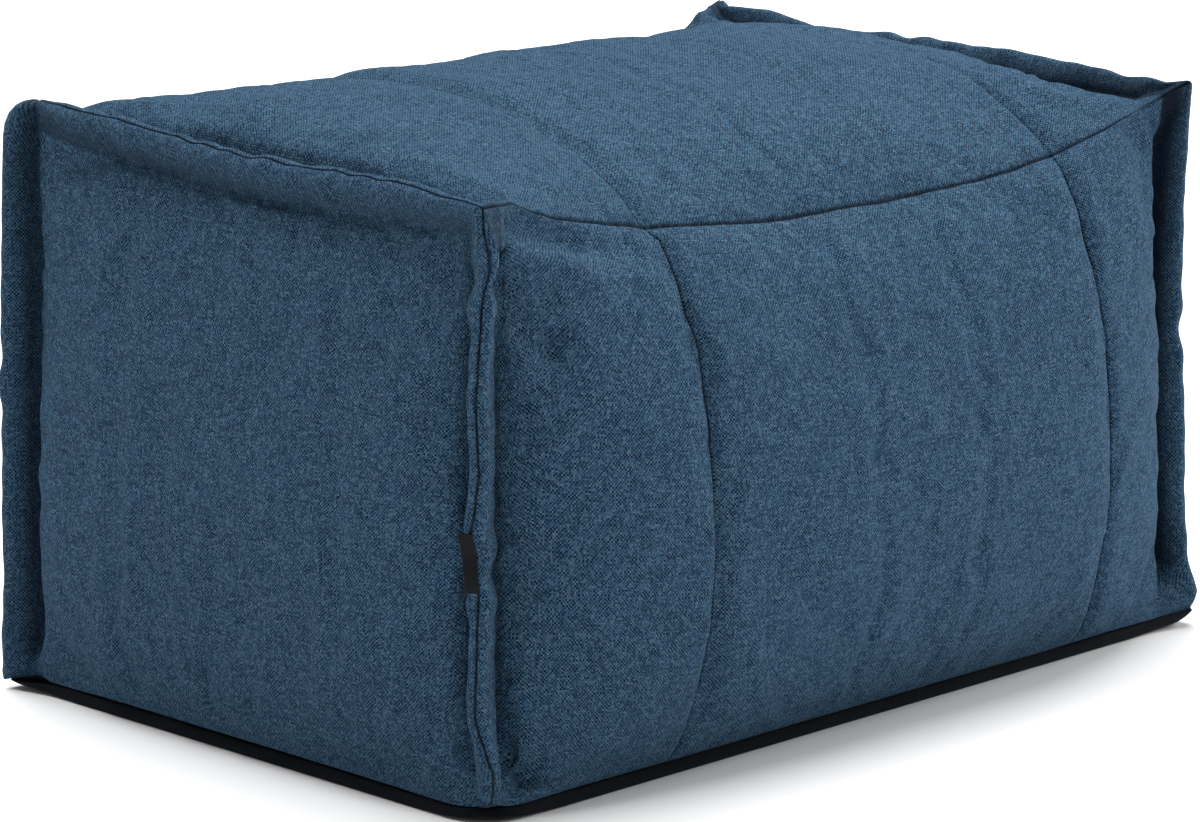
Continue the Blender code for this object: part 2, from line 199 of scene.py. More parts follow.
# The four corners, in the order front left, back left, front right, back right
CORNER_TABLE = {
    # Added height, and how the flange leans endwards all the way up and near the base only
    "lift": (0.003, 0.010, -0.006, 0.002),
    "lean": (radians(10), 0.0, 0.0, 0.0),
    "foot_lean": (radians(-32), 0.0, 0.0, 0.0),
    # How far the flange moves outwards half way up and near the base
    "bow": (0.0, 0.006, -0.010, 0.0),
    "kick": (0.0, 0.002, 0.004, 0.004),
    # How far the long edge rises beside the corner, and at which share of its half length
    "puff": (0.011, 0.011, 0.004, 0.0175),
    "puff_place": (0.908, 0.908, 0.93, 0.915),
    # The square corner of the flange's tip lies out by the reach and up by the rise, in shares of its
    # width, and is rounded by the radius. From there the tip runs to a point above the root, and the
    # crease from the root goes to the square corner (0) or to that point (1).
    "reach": (0.80, 1.14, 0.84, 0.90),
    "rise": (0.55, 0.77, 0.80, 0.80),
    "radius": (0.004, 0.026, 0.005, 0.010),
    "above": (0.0, 0.0165, 0.0158, 0.0140),
    "crease": (0, 1, 0, 0),
    # Cloth that bridges the groove: how far it runs out along the cover, down the side and in over the
    # top, and at the foot how far out and how high
    "web": ((0.034, 0.026, 0.030, 0.010, 0.014), (0.020, 0.012, 0.020, 0.020, 0.026),
            (0.024, 0.014, 0.030, 0.026, 0.038), (0.034, 0.014, 0.024, 0.024, 0.034)),
    # Lowering of the tip along the top beside the corner: share, place, half width
    "dip": ((0.12, 0.030, 0.022), (-0.05, 0.068, 0.036), (0.24, 0.045, 0.052), (0.22, 0.098, 0.045)),
    # Flange's width at heights up the side, and how much lower the foot of its tip hangs
    "width": (((0.0105, 0.30), (0.020, 0.55), (0.045, 1.0)), LEFT_WIDTH, RIGHT_WIDTH,
              ((0.0105, 0.9), (0.045, 1.0))),
    "drop": (-0.004, 0.004, -0.001, 0.0),
    # Painted shade in the groove: strength, share of its reach at full strength, height of its lower end
    "shade": ((0.50, 0.30, 0.040), (0.75, 0.25, 0.014), (1.00, 0.25, 0.034), (0.75, 0.30, 0.020)),
    # On the end panel's side: rounding of the groove's corner, roundings of its bends at the side and the
    # top, and the share of its depth that the groove keeps there at the side and the top
    "root_round": (0.024, 0.004, 0.010, 0.010),
    "end_bends": ((0.0045, 0.0055), (0.0040, 0.0160), (0.0080, 0.0100), (0.0080, 0.0100)),
    "end_deep": ((1.0, 1.0), (0.0, 0.0), (0.3, 0.0), (0.3, 0.0)),
    # Corner of the base panel: radius, reach outwards, lift of its bottom, share by which its top sinks
    "base": ((0.038, 0.0, 0.0034, 0.0), (0.010, 0.0125, 0.002, 0.38), (0.014, 0.012, 0.002, -0.2),
             (0.014, 0.009, 0.002, 0.1)),
}
Corner = namedtuple("Corner", CORNER_TABLE)
CORNERS = dict(zip(((-1, -1), (-1, 1), (1, -1), (1, 1)), map(Corner._make, zip(*CORNER_TABLE.values()))))

# Sideways path of the seam at the near flange's tip, at heights up the side, in millimetres
NEAR_SEAM_STRAY = (
    (10, 0), (22, 2), (41, 4), (63, -0.6), (75, -2.5), (126, -1), (157, 0.6), (172, -1), (195, -4), (212, -2),
    (232, 1), (274, -1.3), (297, 0.6), (335, 2.8), (352, 6), (363, 8.2), (370, 6.2), (378, 2.2), (390, 0.6),
    (402, 0),
)

# Cross-section of one flange layer from its groove to the seam at its tip, in millimetres: how far out
# it lies, and how far from the plane between the two layers.
FLANGE_SECTION = (
    (-7.0, 4.3), (-3.0, 4.7), (0.6, 5.4), (3.5, 6.9), (7.5, 7.6), (12.0, 7.4), (16.0, 7.0),
    (19.6, 6.2), (21.8, 4.4), (22.8, 2.3), (23.0, 1.2), (22.9, 0.6), (22.3, 0.1),
)

# The folds of the real cushion that stand out: where each starts and ends, its half width and its depth,
# in millimetres. A negative depth is a ridge.
COVER_FOLDS = (
    ((-302, -214, 383), (-252, -217, 365), 11, 6.6),
    ((-230, -219, 357), (-200, -222, 350), 11, 3),
    ((-316, -218, 368), (-250, -230, 344), 10, -4.5),
    ((-322, -222, 336), (-290, -236, 308), 14, 8),
    ((-322, -228, 300), (-318, -232, 225), 12, 2),
    ((-328, -224, 46), (-316, -234, 28), 7.5, 10),
    ((-312, -235, 24), (-298, -236, 20), 6, 6),
    ((300, -222, 360), (296, -232, 315), 10, 3.5),
    ((262, -220, 352), (275, -244, 290), 13, -2),
    ((312, -236, 60), (285, -240, 30), 10, 4),
    ((295, -197, 388), (254, -178, 394), 8, -3.8),
    ((254, -178, 394), (247, -125, 408), 9, -3.4),
    ((296, -172, 392), (275, -90, 404), 14, 5),
    ((-310, -180, 386), (-286, -80, 400), 13, 3),
    ((-290, 165, 402), (-245, 190, 400), 30, -2.5),
    ((-318, 216, 370), (-250, 240, 320), 12, 3.5),
    ((-315, 226, 330), (-270, 252, 270), 12, -2.5),
    ((315, 214, 372), (255, 236, 334), 11, 3.5),
    ((300, 232, 320), (270, 248, 262), 13, -2.5),
    ((300, 205, 384), (262, 170, 396), 11, 3),
    ((-300, 240, 40), (-270, 244, 26), 9, 3),
    ((318, 236, 44), (290, 240, 28), 9, 3.5),
)
LEFT_END_FOLDS = (
    ((-338, -195, 366), (-352, -140, 300), 18, 3),
    ((-352, -120, 300), (-360, -90, 230), 24, 1.6),
    ((-342, 190, 368), (-352, 150, 330), 15, 2),
    ((-350, -200, 60), (-356, -150, 35), 14, 2.2),
    ((-350, 200, 60), (-354, 160, 35), 14, 2),
)
RIGHT_END_FOLDS = (
    ((338, -195, 360), (352, -150, 300), 16, 2.6),
    ((338, 195, 364), (354, 130, 290), 19, 3),
    ((350, -190, 70), (356, -140, 35), 14, 2.2),
    ((350, 200, 60), (356, 150, 40), 14, 2.2),
)

# Soft irregularities of the cloth: how far each stands out, and its wavelength
BROAD_WAVE = (0.0011, 0.110)
SMALL_WAVE = (0.00035, 0.034)
WAVE_FADE = 0.012
FOLD_FADE = 0.006

# Small gathers along the flanges' grooves and along the plain seams: size, wavelength, reach, and the
# distance over which they start
FLANGE_PUCKER = (0.0008, 0.034, 0.016, 0.004)
SEAM_PUCKER = (0.00035, 0.015, 0.008, 0.002)
END_TOP_PUCKER = 0.6

# Wander and gathers of the flanges' tips, waves of their width and thickness, and how much calmer and
# flatter they are at the ears, at the foot and on the left end
TIP_WANDER = (0.0013, 0.085)
TIP_PUCKER = (0.0006, 0.032)
TIP_POWER = 1.5
REACH_WAVE = (0.0009, 0.044)
FLANGE_PUFF = (0.16, 0.040)
EAR_CALM = 0.8
EAR_FLATTENING = 0.25
WANDER_RISE = 0.05
NEAR_WANDER = 0.35
CALM_REACH = 0.12
FOOT_CLOSED = 0.12
FOOT_CLOSING = 0.009

# Cloth simulation on a coarse copy of the cover: cell size, pressure, mass of a point, extra cloth as a
# share of its size, gathering along the seams, bending stiffness, steps, share by which the cloth and its
# seams are held, cap on a move, and smoothing passes that tell the broad moves from the fine ones
CLOTH_STEP = 0.0075
CLOTH_PRESSURE = 4.0
CLOTH_MASS = 0.02
CLOTH_EXTRA = 0.013
SEAM_GATHER = 0.01
CLOTH_BENDING = 0.3
CLOTH_FRAMES = 20
CLOTH_HOLD = 0.15
SEAM_HOLD = 0.5
CLOTH_CAP = 0.0017
CLOTH_BROAD = 40
CLOTH_QUALITY = 6

# Fold-over tab in the flange seam, and its cross-section in millimetres
TAB_HEIGHT = 0.038
TAB_WIDTH = 0.0085
TAB_CENTRE_HEIGHT = 0.176
TAB_SECTION = (
    (-1.0, 0.05), (2.0, 0.0), (5.5, 0.0), (7.9, 0.05), (8.5, 0.6), (7.9, 1.15), (5.5, 1.2), (2.0, 1.15),
    (-0.9, 1.0), (-1.0, 0.5), (-1.0, 0.05),
)
TAB_SWAY = (0.0003, 0.0004)
TAB_SWAY_RATE = 90
TAB_STAND_OFF = 0.0004
TAB_ROWS, TAB_POINTS = 25, 27

# Base panel under the flanges' feet. A ring is its depth inwards, its height and the size of its waves.
BASE_TOP = 0.0096
BASE_LIFT_WIDTH = 0.065
BASE_EAR_WIDTH = 0.040
BASE_EAR_PLACE = 0.98
BASE_WAVE_LENGTH = 0.05
BASE_SHARES = (0.0, 0.3, 0.6, 0.85)
BASE_UNDERSIDE = (0.0040, 0.0)
BASE_INSIDE = (0.0050, 0.0020)
BASE_RINGS = (
    (0.0040, 0.0, 0.0), (0.0016, 0.0005, 0.0), (0.0005, 0.0020, 0.0), (0.0, 0.0045, 0.0001),
    (0.0003, 0.0072, 0.0003), (0.0010, 0.0090, 0.0004), (0.0022, 0.0096, 0.0004),
    (0.0036, 0.0090, 0.0003), (0.0044, 0.0060, 0.0),
)
ARC_POINTS = 17
SIDE_POINTS = 81

FRONT, TOP, BACK = 0, 1, 2


# ----- Shape of the filled cover -----
def mix(a, b, share):
    return a + (b - a) * share


def smooth(share):
    share = np.clip(share, 0, 1)
    return share * share * (3 - 2 * share)


def points(x, y, z):
    return np.stack(np.broadcast_arrays(x, y, z), axis=-1)


def faded(distance, reach):
    """Share that falls smoothly from 1 to 0 over a reach."""
    return 1 - smooth(distance / reach)


def by_end(along, pair):
    """The left or the right value of a pair, for the end that each place is nearer to."""
    return np.where(np.asarray(along) > 0, pair[1], pair[0])


def corner_value(name, along, side):
    """A corner's value on one side, for the end that each place is nearer to."""
    return by_end(along, [getattr(CORNERS[end, side], name) for end in (-1, 1)])


def footprint_reach(along, half_along, half_across):
    """Half width of the rounded foot at a distance along it."""
    past = np.clip(np.abs(along) - (half_along - FOOT_RADIUS), 0, FOOT_RADIUS)
    return half_across - FOOT_RADIUS + np.sqrt(FOOT_RADIUS ** 2 - past ** 2)


def flare(up):
    """Share of the foot's extra size that is left at a share of the height."""
    return (1 - up) ** 2


def near_foot(up):
    """Share that falls from 1 at the base to 0 a little way up."""
    return np.clip(1 - up / FOOT_REACH, 0, 1) ** 2


def fullness(share):
    """How far a filled face stands out at a share of its half width."""
    return np.clip(1 - np.abs(share) ** FACE_POWER, 0, 1) ** FACE_ROUNDING


def bulge_profile(up):
    """Bulge of an upright face at a share of its height."""
    return np.clip(4 * up * (1 - up), 0, 1) ** BULGE_ROUNDING


def seam_distance(x):
    """Distance to the nearer of the two seams that run round the cushion."""
    return np.min([np.abs(x - seam) for seam in SEAMS_X], axis=0)


def valley(x):
    """Depth of the wide valley that the seams draw into the cushion."""
    return VALLEY_DEPTH * np.clip(1 - seam_distance(x) / VALLEY_HALF_WIDTH, 0, 1) ** VALLEY_POWER


def corner_bow(along, side, up):
    return sqrt(0.5) * corner_value("bow", along, side) * bulge_profile(up) * np.abs(along) ** BOW_REACH


def edge_height(along, side):
    """Height of a long top edge, high at the corners and lowest a little right of the middle."""
    low = EDGE_LOW_X / ROOT_X
    end = np.where(along > low, 1, -1)
    rise = (1 - np.cos(pi * np.abs((along - low) / (end - low)) ** EDGE_POWER)) / 2
    lift, puff, place = (corner_value(name, along - low, side) for name in ("lift", "puff", "puff_place"))
    closeness = np.clip(1 - np.abs(np.abs(along) - place) / EAR_PUFF_WIDTH, 0, 1)
    settled = smooth((1 - np.abs(along)) / (1 - place))
    return mix(EDGE_LOW_HEIGHT, CORNER_HEIGHT + lift, rise) + puff * closeness ** EAR_PUFF_POWER * settled


def edge_depth(along, dip):
    """Half depth of the cushion between its long top edges."""
    return ROOT_Y - mix(*EDGE_DRAW_IN, (along + 1) / 2) * fullness(along) - dip


def top_height(along, across):
    """Height of the top at shares of its half length and half width."""
    lifts = [corner_value("lift", along, side) for side in (-1, 1)]
    end_height = CORNER_HEIGHT + (lifts[0] + lifts[1]) / 2 - by_end(along, END_SAG)
    rise = np.clip(1 - np.abs(along) ** by_end(along, CREST_POWER), 0, 1) ** by_end(along, CREST_ROUNDING)
    edge = mix(edge_height(along, -1), edge_height(along, 1), (across + 1) / 2)
    crown = (np.clip(1 - across ** 2, 0, 1) + CROWN_EASE) ** CROWN_ROUNDING
    lowest, highest = CROWN_EASE ** CROWN_ROUNDING, (1 + CROWN_EASE) ** CROWN_ROUNDING
    swell = np.interp(along, *np.array(TOP_SWELL).T)
    swell = swell * np.exp(-((across - TOP_SWELL_PLACE) / TOP_SWELL_WIDTH) ** 2)
    swell = swell * smooth((1 - np.abs(across)) / SWELL_FADE)
    return mix(edge, mix(end_height, CREST_HEIGHT, rise), (crown - lowest) / (highest - lowest)) + swell


def side_face(side, along, up):
    """Points of the front or the back."""
    dip = valley(along * ROOT_X)
    foot_y = footprint_reach(along * FOOT_X, HALF_LENGTH, HALF_DEPTH)
    bow = corner_bow(along, side, up)
    x = along * (ROOT_X + FOOT_FLARE * flare(up)) + np.sign(along) * bow
    bulge = (SIDE_BULGE * fullness(along) - dip) * bulge_profile(up)
    y = mix(edge_depth(along, dip), foot_y, flare(up)) + bulge + bow
    return points(x, side * y, mix(CUSHION_FOOT, edge_height(along, side) - dip, up))


def top_face(along, across):
    dip = valley(along * ROOT_X)
    return points(along * ROOT_X, across * edge_depth(along, dip), top_height(along, across) - dip)


def end_face(end, across, up):
    """Points of an end panel at shares of its half width and of its height."""
    bows = [np.asarray(corner_bow(np.full_like(across, end), side, up)) for side in (-1, 1)]
    bow = np.where(across > 0, bows[1], bows[0]) * np.abs(across) ** BOW_REACH
    foot_x = footprint_reach(across * FOOT_Y, HALF_DEPTH, HALF_LENGTH)
    x = mix(ROOT_X, foot_x, flare(up)) + END_BULGE * fullness(across) * bulge_profile(up) + bow
    y = across * (ROOT_Y + FOOT_FLARE * flare(up)) + np.sign(across) * bow
    height = top_height(np.full_like(across, end), across)
    return points(end * x, y, mix(CUSHION_FOOT, height, up))


# ----- Stations: the rows of the cover, up the front, over the top and down the back -----
def graded(start, stop):
    """Places from start to stop, close together at both and further apart between them."""
    steps = []
    step = FINE_STEP
    while sum(steps) + step < (stop - start) / 2:
        steps.append(step)
        step = min(step * STEP_GROWTH, COARSE_STEP)
    half = np.concatenate([[0], np.cumsum(steps)]) * (stop - start) / 2 / sum(steps)
    return np.concatenate([start + half, (stop - half[:-1])[::-1]])


def joined(stops):
    """Graded places over several stretches that share their ends."""
    runs = [graded(a, b) for a, b in zip(stops, stops[1:])]
    return np.concatenate([runs[0]] + [run[1:] for run in runs[1:]])


ALONG = joined([-ROOT_X, *SEAMS_X, ROOT_X]) / ROOT_X
UP = graded(0, CORNER_HEIGHT) / CORNER_HEIGHT
ACROSS = graded(-ROOT_Y, ROOT_Y) / ROOT_Y

ROW_FACE = np.concatenate([np.full(len(UP), FRONT), np.full(len(ACROSS) - 2, TOP), np.full(len(UP), BACK)])
ROW_SHARE = np.concatenate([UP, ACROSS[1:-1], UP[::-1]])
ON_TOP = ROW_FACE == TOP
EDGE_ROWS = (len(UP) - 1, len(UP) + len(ACROSS) - 2)
ROW_EDGE = np.where(ON_TOP, (1 - np.abs(ROW_SHARE)) * ROOT_Y, (1 - ROW_SHARE) * CORNER_HEIGHT)
ROW_HEIGHT = np.where(ON_TOP, 1, ROW_SHARE) * CORNER_HEIGHT
ROW_PLACE = np.select(
    [ROW_FACE == FRONT, ON_TOP, ROW_FACE == BACK],
    [ROW_SHARE * CORNER_HEIGHT, CORNER_HEIGHT + (1 + ROW_SHARE) * ROOT_Y,
     CORNER_HEIGHT + 2 * ROOT_Y + (1 - ROW_SHARE) * CORNER_HEIGHT])
FRONT_HALF = ROW_PLACE < ROW_PLACE.mean()

# The rows along the front, top and back edges of an end panel, in the order of the panel's own rows
FRONT_ROWS = slice(len(UP))
TOP_ROWS = slice(EDGE_ROWS[0], EDGE_ROWS[1] + 1)
BACK_ROWS = slice(None, EDGE_ROWS[1] - 1, -1)
NO_WEB = np.zeros(len(ROW_FACE))


def by_row(end, name):
    """The corners' value, or each of its numbers, on every row of an end."""
    front, back = (np.reshape(getattr(CORNERS[end, side], name), (-1, 1)) for side in (-1, 1))
    return np.where(FRONT_HALF, front, back).squeeze()


def normalised(vectors):
    return vectors / np.maximum(np.linalg.norm(vectors, axis=-1, keepdims=True), 1e-12)


def ripple(wave, place, seed):
    """A wandering line of about the given size and wavelength: a sum of sines out of step."""
    size, wavelength = wave
    turns = 2 * pi * np.asarray(place) / wavelength
    waves = [np.sin(turns * (0.62 + 0.21 * k) + seed * (1.7 + 2.3 * k) + 1.9 * k) for k in range(5)]
    return size * (sum(waves) / 2.4)


def waves_in_space(wave, places, seed):
    """A smooth irregular field in space, with waves of about the given size and wavelength."""
    size, wavelength = wave
    random = np.random.default_rng(seed)
    field = np.zeros(places.shape[:-1])
    for _ in range(14):
        heading = normalised(random.normal(size=3))
        stretch = random.uniform(0.7, 1.5)
        field += np.sin(places @ heading * (2 * pi / wavelength * stretch) + random.uniform(0, 2 * pi))
    return size * (field / 3.7)


def lengths_along(lines):
    """Distance along each line of a grid, [point][line], or along a single line."""
    steps = np.linalg.norm(np.diff(lines, axis=0), axis=-1)
    return np.concatenate([np.zeros_like(steps[:1]), np.cumsum(steps, axis=0)])


def along_line(places, lengths, line):
    """Points of a line at places, given the length at each of its points."""
    return np.stack([np.interp(places, lengths, values) for values in line.T], axis=-1)


def bend(first, middle, last, t):
    """Points of a smooth bend from first to last that is drawn to the middle."""
    return (1 - t) ** 2 * first + 2 * t * (1 - t) * middle + t ** 2 * last


def tip_path(start, square, above, stop, radius):
    """Outline of the flange's tip from start to stop round a square corner and by way of the point above
    the root, with distances along it to the middle of the bend and to that point."""
    before, after = start - square, above - square
    first = square + before * min(1, radius / np.linalg.norm(before))
    last = square + after * min(1, radius / np.linalg.norm(after))
    line = np.vstack([start, bend(first, square, last, np.linspace(0, 1, BEND_POINTS)[:, None]), above, stop])
    lengths = lengths_along(line)
    return line, lengths, (lengths[1 + BEND_POINTS // 2], lengths[-2])


def flange_frame(end):
    """For each row: root of the flange, its outward vector and the direction to the cushion's layer."""
    top_out = np.array([end * sin(TOP_SPLAY), 0, cos(TOP_SPLAY)])
    top_in = np.array([-end * cos(TOP_SPLAY), 0, sin(TOP_SPLAY)])
    rows = []
    for face, share, distance in zip(ROW_FACE, ROW_SHARE, ROW_EDGE):
        side = -1 if face == FRONT or (face == TOP and share < 0) else 1
        corner = CORNERS[end, side]
        up = 1.0 if face == TOP else share
        splay = SIDE_SPLAY + corner.lean + corner.foot_lean * near_foot(up)
        side_in = np.array([-end * cos(splay), side * sin(splay), 0])
        if face == TOP:
            root = np.array([end * ROOT_X, share * ROOT_Y, float(top_height(float(end), share))])
            amount, place, width = corner.dip
            out = top_out * (1 - amount * np.exp(-((distance - place) / width) ** 2))
            inward = mix(side_in + top_in, top_in, smooth(distance / TOP_FAN))
        else:
            height = mix(CUSHION_FOOT, CORNER_HEIGHT + corner.lift, up)
            shift = FOOT_FLARE * flare(up) + float(corner_bow(float(end), side, up))
            shift += corner.kick * near_foot(up) / sqrt(2)
            root = np.array([end * (ROOT_X + shift), side * (ROOT_Y + shift), height])
            out = np.array([end * sin(splay), side * cos(splay), 0])
            out = out * np.interp(height, *np.array(corner.width).T)
            inward = mix(side_in + top_in, side_in, smooth(distance / (SIDE_FAN / 3)))
        rows.append((root, out, inward))
    roots, outs, ins = np.array(rows).transpose(1, 0, 2)
    tips = roots + outs * FLANGE_WIDTH
    tips[:, 2] -= by_row(end, "drop") * faded(ROW_HEIGHT, DROP_HEIGHT)
    for side in (-1, 1):
        corner, corner_root = CORNERS[end, side], roots[EDGE_ROWS[side > 0]]
        own_half = FRONT_HALF == (side < 0)
        upright = np.flatnonzero(own_half & ~ON_TOP & (ROW_EDGE < SIDE_FAN))[::side]
        level = np.flatnonzero(own_half & ON_TOP & (ROW_EDGE < TOP_FAN))[::-side]
        start, stop = tips[upright[-1]], tips[level[-1]]
        splay = SIDE_SPLAY + corner.lean
        heading = np.array([end * (sin(splay) + sin(TOP_SPLAY)) / 2, side * cos(splay), 0]) * corner.reach
        square = corner_root + FLANGE_WIDTH * (heading + [0, 0, corner.rise])
        above = corner_root + [0, 0, corner.above] if corner.above else mix(square, stop, LOW_EAR_SHARE)
        line, lengths, turns = tip_path(start, square, above, stop, corner.radius)
        middle = turns[corner.crease]
        places = middle * (1 - ROW_EDGE[upright] / ROW_EDGE[upright[-1]])
        beyond = mix(middle, lengths[-1], ROW_EDGE[level] / ROW_EDGE[level[-1]])
        tips[upright] = along_line(places, lengths, line)
        tips[level] = along_line(beyond, lengths, line)
    return roots, (tips - roots) / FLANGE_WIDTH, normalised(ins)


def spline(stops, count, gather=1.0):
    """A smooth line of points through the stops, closer together towards its end where they gather."""
    stops = np.array(stops, float)
    padded = np.vstack([2 * stops[0] - stops[1], stops, 2 * stops[-1] - stops[-2]])
    powers = np.arange(0, 1, SPLINE_STEP)[:, None] ** np.arange(4)
    basis = np.array([[0, 2, 0, 0], [-1, 0, 1, 0], [2, -5, 4, -1], [-1, 3, -3, 1]]) / 2
    line = np.vstack([powers @ basis @ padded[k:k + 4] for k in range(len(stops) - 1)] + [stops[-1:]])
    lengths = lengths_along(line)
    return along_line(lengths[-1] * (1 - np.linspace(1, 0, count) ** gather), lengths, line)


def root_rounding(end):
    """Moves of the rows near an end panel's top corners that round the corner of its groove."""
    radius = by_row(end, "root_round")
    share = np.clip(1 - ROW_EDGE / radius, 0, 1) / 2
    near, far = share ** 2 * radius, (1 - share) ** 2 * radius - ROW_EDGE
    down, inward = np.where(ON_TOP, near, far), np.where(ON_TOP, far, near)
    return points(0, np.where(FRONT_HALF, inward, -inward), -down) * (share > 0)[:, None]


def flange_rings(end, layer, section):
    """Grid [ring][row] of one flange layer through a section in metres. The layer is 1 or -1."""
    roots, outs, ins = flange_frame(end)
    ear = faded(ROW_EDGE, EAR_REACH)
    calm = np.where(FRONT_HALF, 1, smooth(ROW_EDGE / CALM_REACH)) if end < 0 else 1
    wander = ripple(TIP_WANDER, ROW_PLACE, 3 + end) + ripple(TIP_PUCKER, ROW_PLACE, 5 + end)
    wander = wander * smooth(ROW_HEIGHT / WANDER_RISE) * (1 - EAR_CALM * ear) * calm
    stretch = 1 + ripple(REACH_WAVE, ROW_PLACE, 9 + end) / FLANGE_WIDTH * (1 - ear) * calm
    if end < 0:
        stray = np.interp(roots[:, 2], *np.array(NEAR_SEAM_STRAY).T / 1000)
        wander = np.where(ROW_FACE == FRONT, NEAR_WANDER * wander + stray, wander)
    puff = 1 + ripple(FLANGE_PUFF, ROW_PLACE, 13 + end + 4 * layer) - EAR_FLATTENING * ear
    puff = puff * mix(FOOT_CLOSED, 1, smooth(ROW_HEIGHT / FOOT_CLOSING))
    kept, near, turned = 0, ear, 0
    if layer < 0:
        at_side, at_top = by_row(end, "end_deep")
        kept = np.where(ON_TOP, at_top, at_side)
        near = faded(ROW_EDGE, DEEP_REACH)
        turned = root_rounding(end)
    sunk = smooth((ROW_HEIGHT - DEEP_START) / DEEP_RISE) * mix(1, kept, near)
    rings = []
    for reach, offset in section:
        depth = layer * (offset * puff + LAYER_GAP / 2)
        depth = depth + wander * np.clip(reach / FLANGE_WIDTH, 0, 1) ** TIP_POWER
        out = reach * stretch * (sunk if reach < 0 else 1)
        rings.append(roots + outs * out[:, None] + ins * depth[:, None] + turned * faded(reach, FLANGE_WIDTH))
    return np.array(rings)


def flange_layer(end, layer):
    """The outside of one flange layer, from its groove to its tip."""
    return flange_rings(end, layer, spline(FLANGE_SECTION, FLANGE_STEPS, FLANGE_GATHER) / 1000)


def flange_lining(end, layer):
    """The inside of one flange layer, from its tip back to the root."""
    return flange_rings(end, layer, [(reach, LINING_OFFSET) for reach in LINING_REACH])


def strayed_along():
    """Places of the columns on each row, moved sideways where the seams stray."""
    along = np.repeat(ALONG[:, None], len(ROW_FACE), axis=1) * ROOT_X
    strayed = along.copy()
    for seam, stray in zip(SEAMS_X, SEAM_STRAY):
        shift = np.interp(ROW_PLACE, *np.array(stray).T / 1000) + ripple(SEAM_WANDER, ROW_PLACE, seam * 50)
        strayed += shift * np.exp(-((along - seam) / SEAM_STRAY_REACH) ** 2)
    return strayed / ROOT_X


def cover_band(left, right):
    """Grid of the front, top and back, [column][row], drawn in to the grooves of both flanges."""
    along = strayed_along()
    front, top, back = (ROW_FACE == face for face in (FRONT, TOP, BACK))
    grid = np.zeros(along.shape + (3,))
    grid[:, front] = side_face(-1, along[:, front], ROW_SHARE[front])
    grid[:, top] = top_face(along[:, top], ROW_SHARE[top])
    grid[:, back] = side_face(1, along[:, back], ROW_SHARE[back])
    for border, column, end in ((left, 0, -1), (right, -1, 1)):
        grid = grid + faded((1 - end * along) * ROOT_X, ROOT_FADE)[..., None] * (border - grid[column])
    return grid


def drawn_to(grid, border, reach):
    """An end panel's grid with its edges moved to a border, and what lies within a reach of them."""
    gaps = border[FRONT_ROWS] - grid[:, 0], border[BACK_ROWS] - grid[:, -1]
    for side, gap in zip((-1, 1), gaps):
        grid = grid + faded((1 - side * ACROSS) * ROOT_Y, reach)[:, None] * gap[:, None]
    return grid + faded((1 - UP) * CORNER_HEIGHT, reach)[:, None, None] * (border[TOP_ROWS] - grid[-1])


def end_grid(end, border):
    """Grid of an end panel, [row up][column across], drawn in to the groove of its flange."""
    return drawn_to(end_face(end, *np.meshgrid(ACROSS, UP)), border, ROOT_FADE)


def rounded(lines, root, before, after, webs=NO_WEB):
    """Lines, [point][line], with a smooth bend in place of the sharp one at the point root.

    The bend starts and stops at the given distances before and after the root. A web is the share of a
    straight bridge in place of the bend."""
    lengths = lengths_along(lines)
    lengths = lengths - lengths[root]
    out = lines.copy()
    for k, (start, stop, web) in enumerate(zip(-before, after, webs)):
        near = (lengths[:, k] > start) & (lengths[:, k] < stop)
        first, last = along_line([start, stop], lengths[:, k], lines[:, k])
        share = (lengths[near, k] - start) / (stop - start)
        out[near, k] = bend(first, mix(lines[root, k], (first + last) / 2, web), last, share[:, None])
    return out


def groove_shade(end, distances, reach):
    """Painted shade of the groove at distances from the flange's root, [point][row]."""
    strength, plateau, low = by_row(end, "shade")
    strength = strength * smooth((ROW_HEIGHT - low) / SHADE_FADE + 0.5)
    front, back = (CORNERS[end, side].shade[0] for side in (-1, 1))
    top = mix(front, back, smooth((ROW_PLACE - ROW_PLACE.mean()) / TOP_SHADE_BLEND + 0.5))
    top = TOP_SHADE * mix(top, strength, faded(ROW_EDGE, TOP_SHADE_REACH))
    strength = np.where(ON_TOP, top, strength)
    return strength * faded(np.asarray(distances) / reach - plateau, 1 - plateau)


def row_rounding(side, top, ear):
    """Rounding of the bend at the flange's root on each row: larger at the ears and the feet."""
    radii = mix(np.where(ON_TOP, top, side), ear, faded(ROW_EDGE, EAR_REACH))
    return np.maximum(radii, FOOT_ROUNDING * faded(ROW_HEIGHT, FOOT_ROUNDING_REACH))


def web_reach(end):
    """How far a web bridges the groove on each row, as a share of its reach along the cover, and that
    reach: at the ear and again at the foot."""
    out, down, inward, foot_out, foot_height = by_row(end, "web")
    ear = np.clip(1 - ROW_EDGE / np.where(ON_TOP, inward, down), 0, 1)
    return np.maximum(ear, faded(ROW_HEIGHT, foot_height)), np.where(ROW_HEIGHT < foot_height, foot_out, out)


# ----- Meshes -----
def surface_normals(grid):
    """Unit normals of a grid, averaged over neighbouring points."""
    return normalised(np.cross(np.gradient(grid, axis=0), np.gradient(grid, axis=1)))


def cloth_coordinates(grid):
    """Distances along the cloth, across and along a grid's rows, measured from its middle. The threads
    follow the grid's own lines."""
    out = []
    for axis in (0, 1):
        steps = np.linalg.norm(np.diff(grid, axis=axis), axis=-1).mean(axis=1 - axis, keepdims=True)
        total = np.cumsum(np.insert(steps, 0, 0, axis=axis), axis=axis)
        total = total - np.take(total, [total.shape[axis] // 2], axis=axis)
        out.append(np.broadcast_to(total, grid.shape[:2]))
    return np.stack(out, axis=-1)


def flange_coordinates(layer):
    """Distances across and along the cloth of a flange from its root, [ring][row]."""
    away = layer - layer[:1]
    return lengths_along(layer), np.where(ON_TOP, away[..., 1], away[..., 2])


